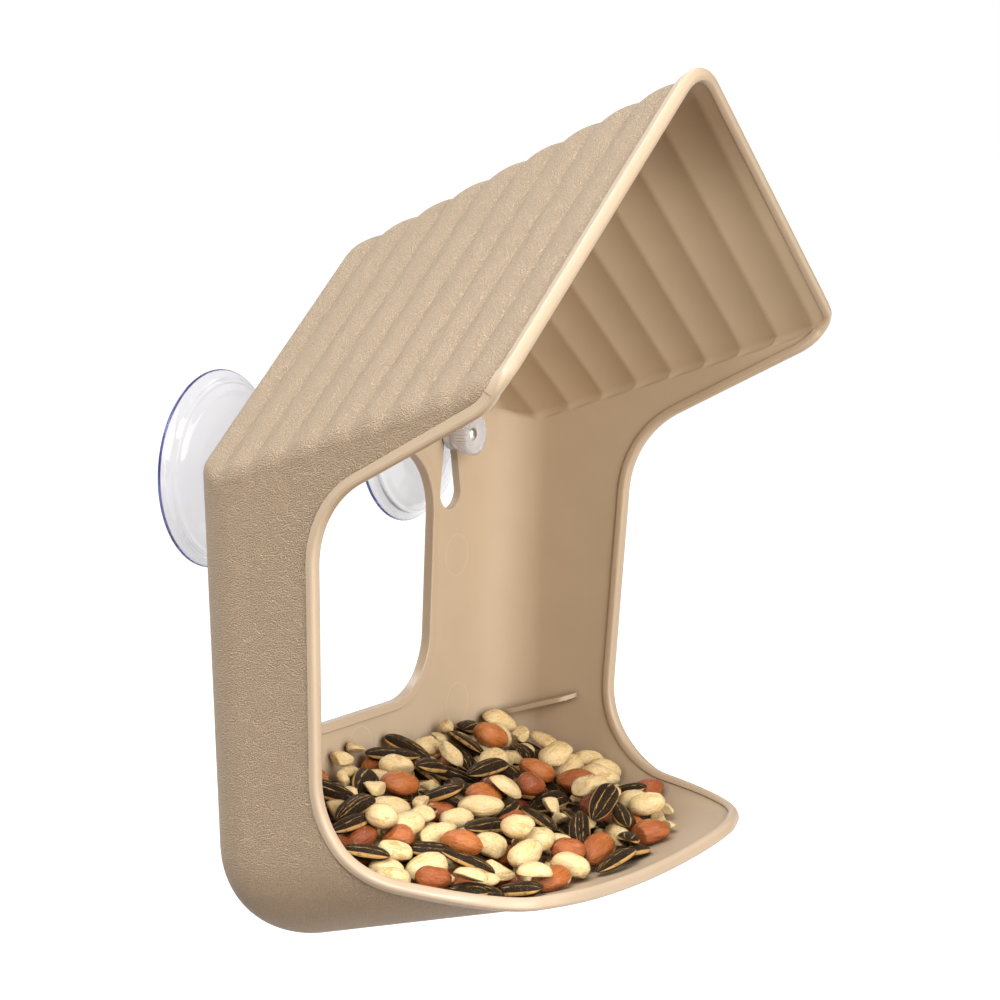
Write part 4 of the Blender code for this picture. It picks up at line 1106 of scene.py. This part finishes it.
def make_crumbs(heap):
    """Broken bits and dust that fill the heap below its top layers."""
    step = 4
    xs, ds = heap.x[::step], heap.d[::step]
    depth = np.minimum(heap.cap[::step, ::step] - 0.0125, heap.top[::step, ::step])
    floor = heap.floor[::step, ::step]
    good = np.isfinite(floor) & (depth > floor + 0.0006)
    bm = bmesh.new()
    tops, lows = {}, {}
    for i in range(len(xs)):
        for j in range(len(ds)):
            if good[i, j]:
                tops[i, j] = bm.verts.new((xs[i], -ds[j], depth[i, j]))
                lows[i, j] = bm.verts.new((xs[i], -ds[j], floor[i, j] + 0.0003))
    for layer in (tops, lows):
        for i, j in layer:
            quad = [(i, j), (i + 1, j), (i + 1, j + 1), (i, j + 1)]
            if all(key in layer for key in quad):
                bm.faces.new([layer[key] for key in quad])
    rims = [edge for edge in bm.edges if len(edge.link_faces) == 1]
    pair = {vert: lows[key] for key, vert in tops.items()}
    for edge in rims:
        a, b = edge.verts
        if a in pair and b in pair:
            bm.faces.new((a, b, pair[b], pair[a]))
    for vert in [v for v in bm.verts if not v.link_faces]:
        bm.verts.remove(vert)
    crumbs = new_piece("seed_crumbs", mesh_from(bm, "seed_crumbs"))
    crumbs.data.materials.append(crumb_material())
    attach(crumbs, "feeder")
    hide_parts("seed_heap")


# Stage and light
def make_stage():
    """Floor that bends up into a backdrop; white where it is seen, warm and dim where it lights the object."""
    bm = bmesh.new()
    floor_z, back_y, radius = -0.420, 2.2, 1.0
    rows = [(-3.2, floor_z), (back_y - radius, floor_z)]
    for turn in quarter(16)[1:]:
        rows.append((back_y - radius + radius * sin(turn), floor_z + radius - radius * cos(turn)))
    rows.append((back_y, 4.0))
    verts = [[bm.verts.new((x, y, z)) for x in (-5, 5)] for y, z in rows]
    for a, b in zip(verts, verts[1:]):
        bm.faces.new((a[0], a[1], b[1], b[0]))
    floor = new_piece("floor", mesh_from(bm, "floor"))
    floor.data.shade_smooth()
    n = Nodes("floor_white")
    rays = n.add("LightPath").outputs
    seen = n.math("MAXIMUM", rays["Is Camera Ray"],
                  n.math("MAXIMUM", rays["Is Glossy Ray"], rays["Is Transmission Ray"]))
    n.set(colour=n.mix(seen, (0.22, 0.165, 0.10), (0.50, 0.50, 0.50)), rough=1.0, specular=0.0)
    n.put(n.shader, "Emission Color", (1, 1, 1))
    away_from = n.add("VectorMath", {0: n.place()}, operation="LENGTH").outputs["Value"]
    n.put(n.shader, "Emission Strength", n.times(seen, n.range(away_from, 0.7, 1.6, 0.78, 0.95)))
    floor.data.materials.append(n.owner)


def make_light():
    n = Nodes("studio", world=True)
    rays = n.add("LightPath").outputs
    seen = n.math("MAXIMUM", rays["Is Camera Ray"], rays["Is Transmission Ray"])
    n.put(n.shader, "Strength", n.range(seen, 0.0, 1.0, 0.22, 1.0))
    n.put(n.shader, "Color", n.mix(seen, (1.0, 0.90, 0.79), (1, 1, 1)))
    bpy.context.scene.world = n.owner
    aim = Vector((0, -0.06, -0.02))
    for name, place, size, power, blue in (
        ("front_left", (-0.90, -1.60, 0.70), 0.9, 15.4, 1.0),
        ("front_high", (0.00, -1.80, 0.70), 1.1, 14.0, 1.0),
        ("front_low", (-0.45, -1.90, -0.10), 0.9, 10.6, 0.84),
        ("left", (-1.85, -0.15, 0.35), 0.9, 4.0, 0.92),
        ("top_left", (-1.20, -0.30, 1.50), 0.8, 36.0, 1.06),
        ("top_back", (0.00, 1.00, 1.60), 0.9, 14.5, 1.12),
        ("top_right", (1.00, 0.00, 1.60), 0.9, 3.8, 1.0),
    ):
        data = bpy.data.lights.new(name, "AREA")
        data.energy = power
        data.size = size
        data.color = (1.0, 0.45 + 0.55 * blue, blue)
        lamp = bpy.data.objects.new(name, data)
        lamp.location = place
        lamp.rotation_euler = (aim - Vector(place)).to_track_quat("-Z", "Y").to_euler()
        bpy.context.scene.collection.objects.link(lamp)


body = make_body()
CUP_VINYL, STUD_METAL, CLEAR_PLASTIC = cup_material(), stud_material(), nut_material()
for side, name in ((-1, "left"), (1, "right")):
    make_cup(side, name)
    make_stud(side, name)
    make_washer(side, name)
    make_nut(side, name)
SEED_MATERIALS = [
    sunflower_material(),
    kernel_material("red_kernel",
                    [(0.21, 0.045, 0.016), (0.42, 0.105, 0.024), (0.62, 0.200, 0.045), (0.13, 0.026, 0.009)],
                    [(0.76, 0.54, 0.26), (0.84, 0.65, 0.36), (0.46, 0.18, 0.06)], 0.71, 0.45),
    kernel_material("blanched_kernel",
                    [(0.74, 0.47, 0.17), (0.86, 0.61, 0.27), (0.93, 0.72, 0.38), (0.56, 0.28, 0.09)],
                    [(0.86, 0.62, 0.28), (0.94, 0.74, 0.41), (0.44, 0.18, 0.05)], 0.44, 0.14),
]
make_seeds(body)
make_stage()
make_light()
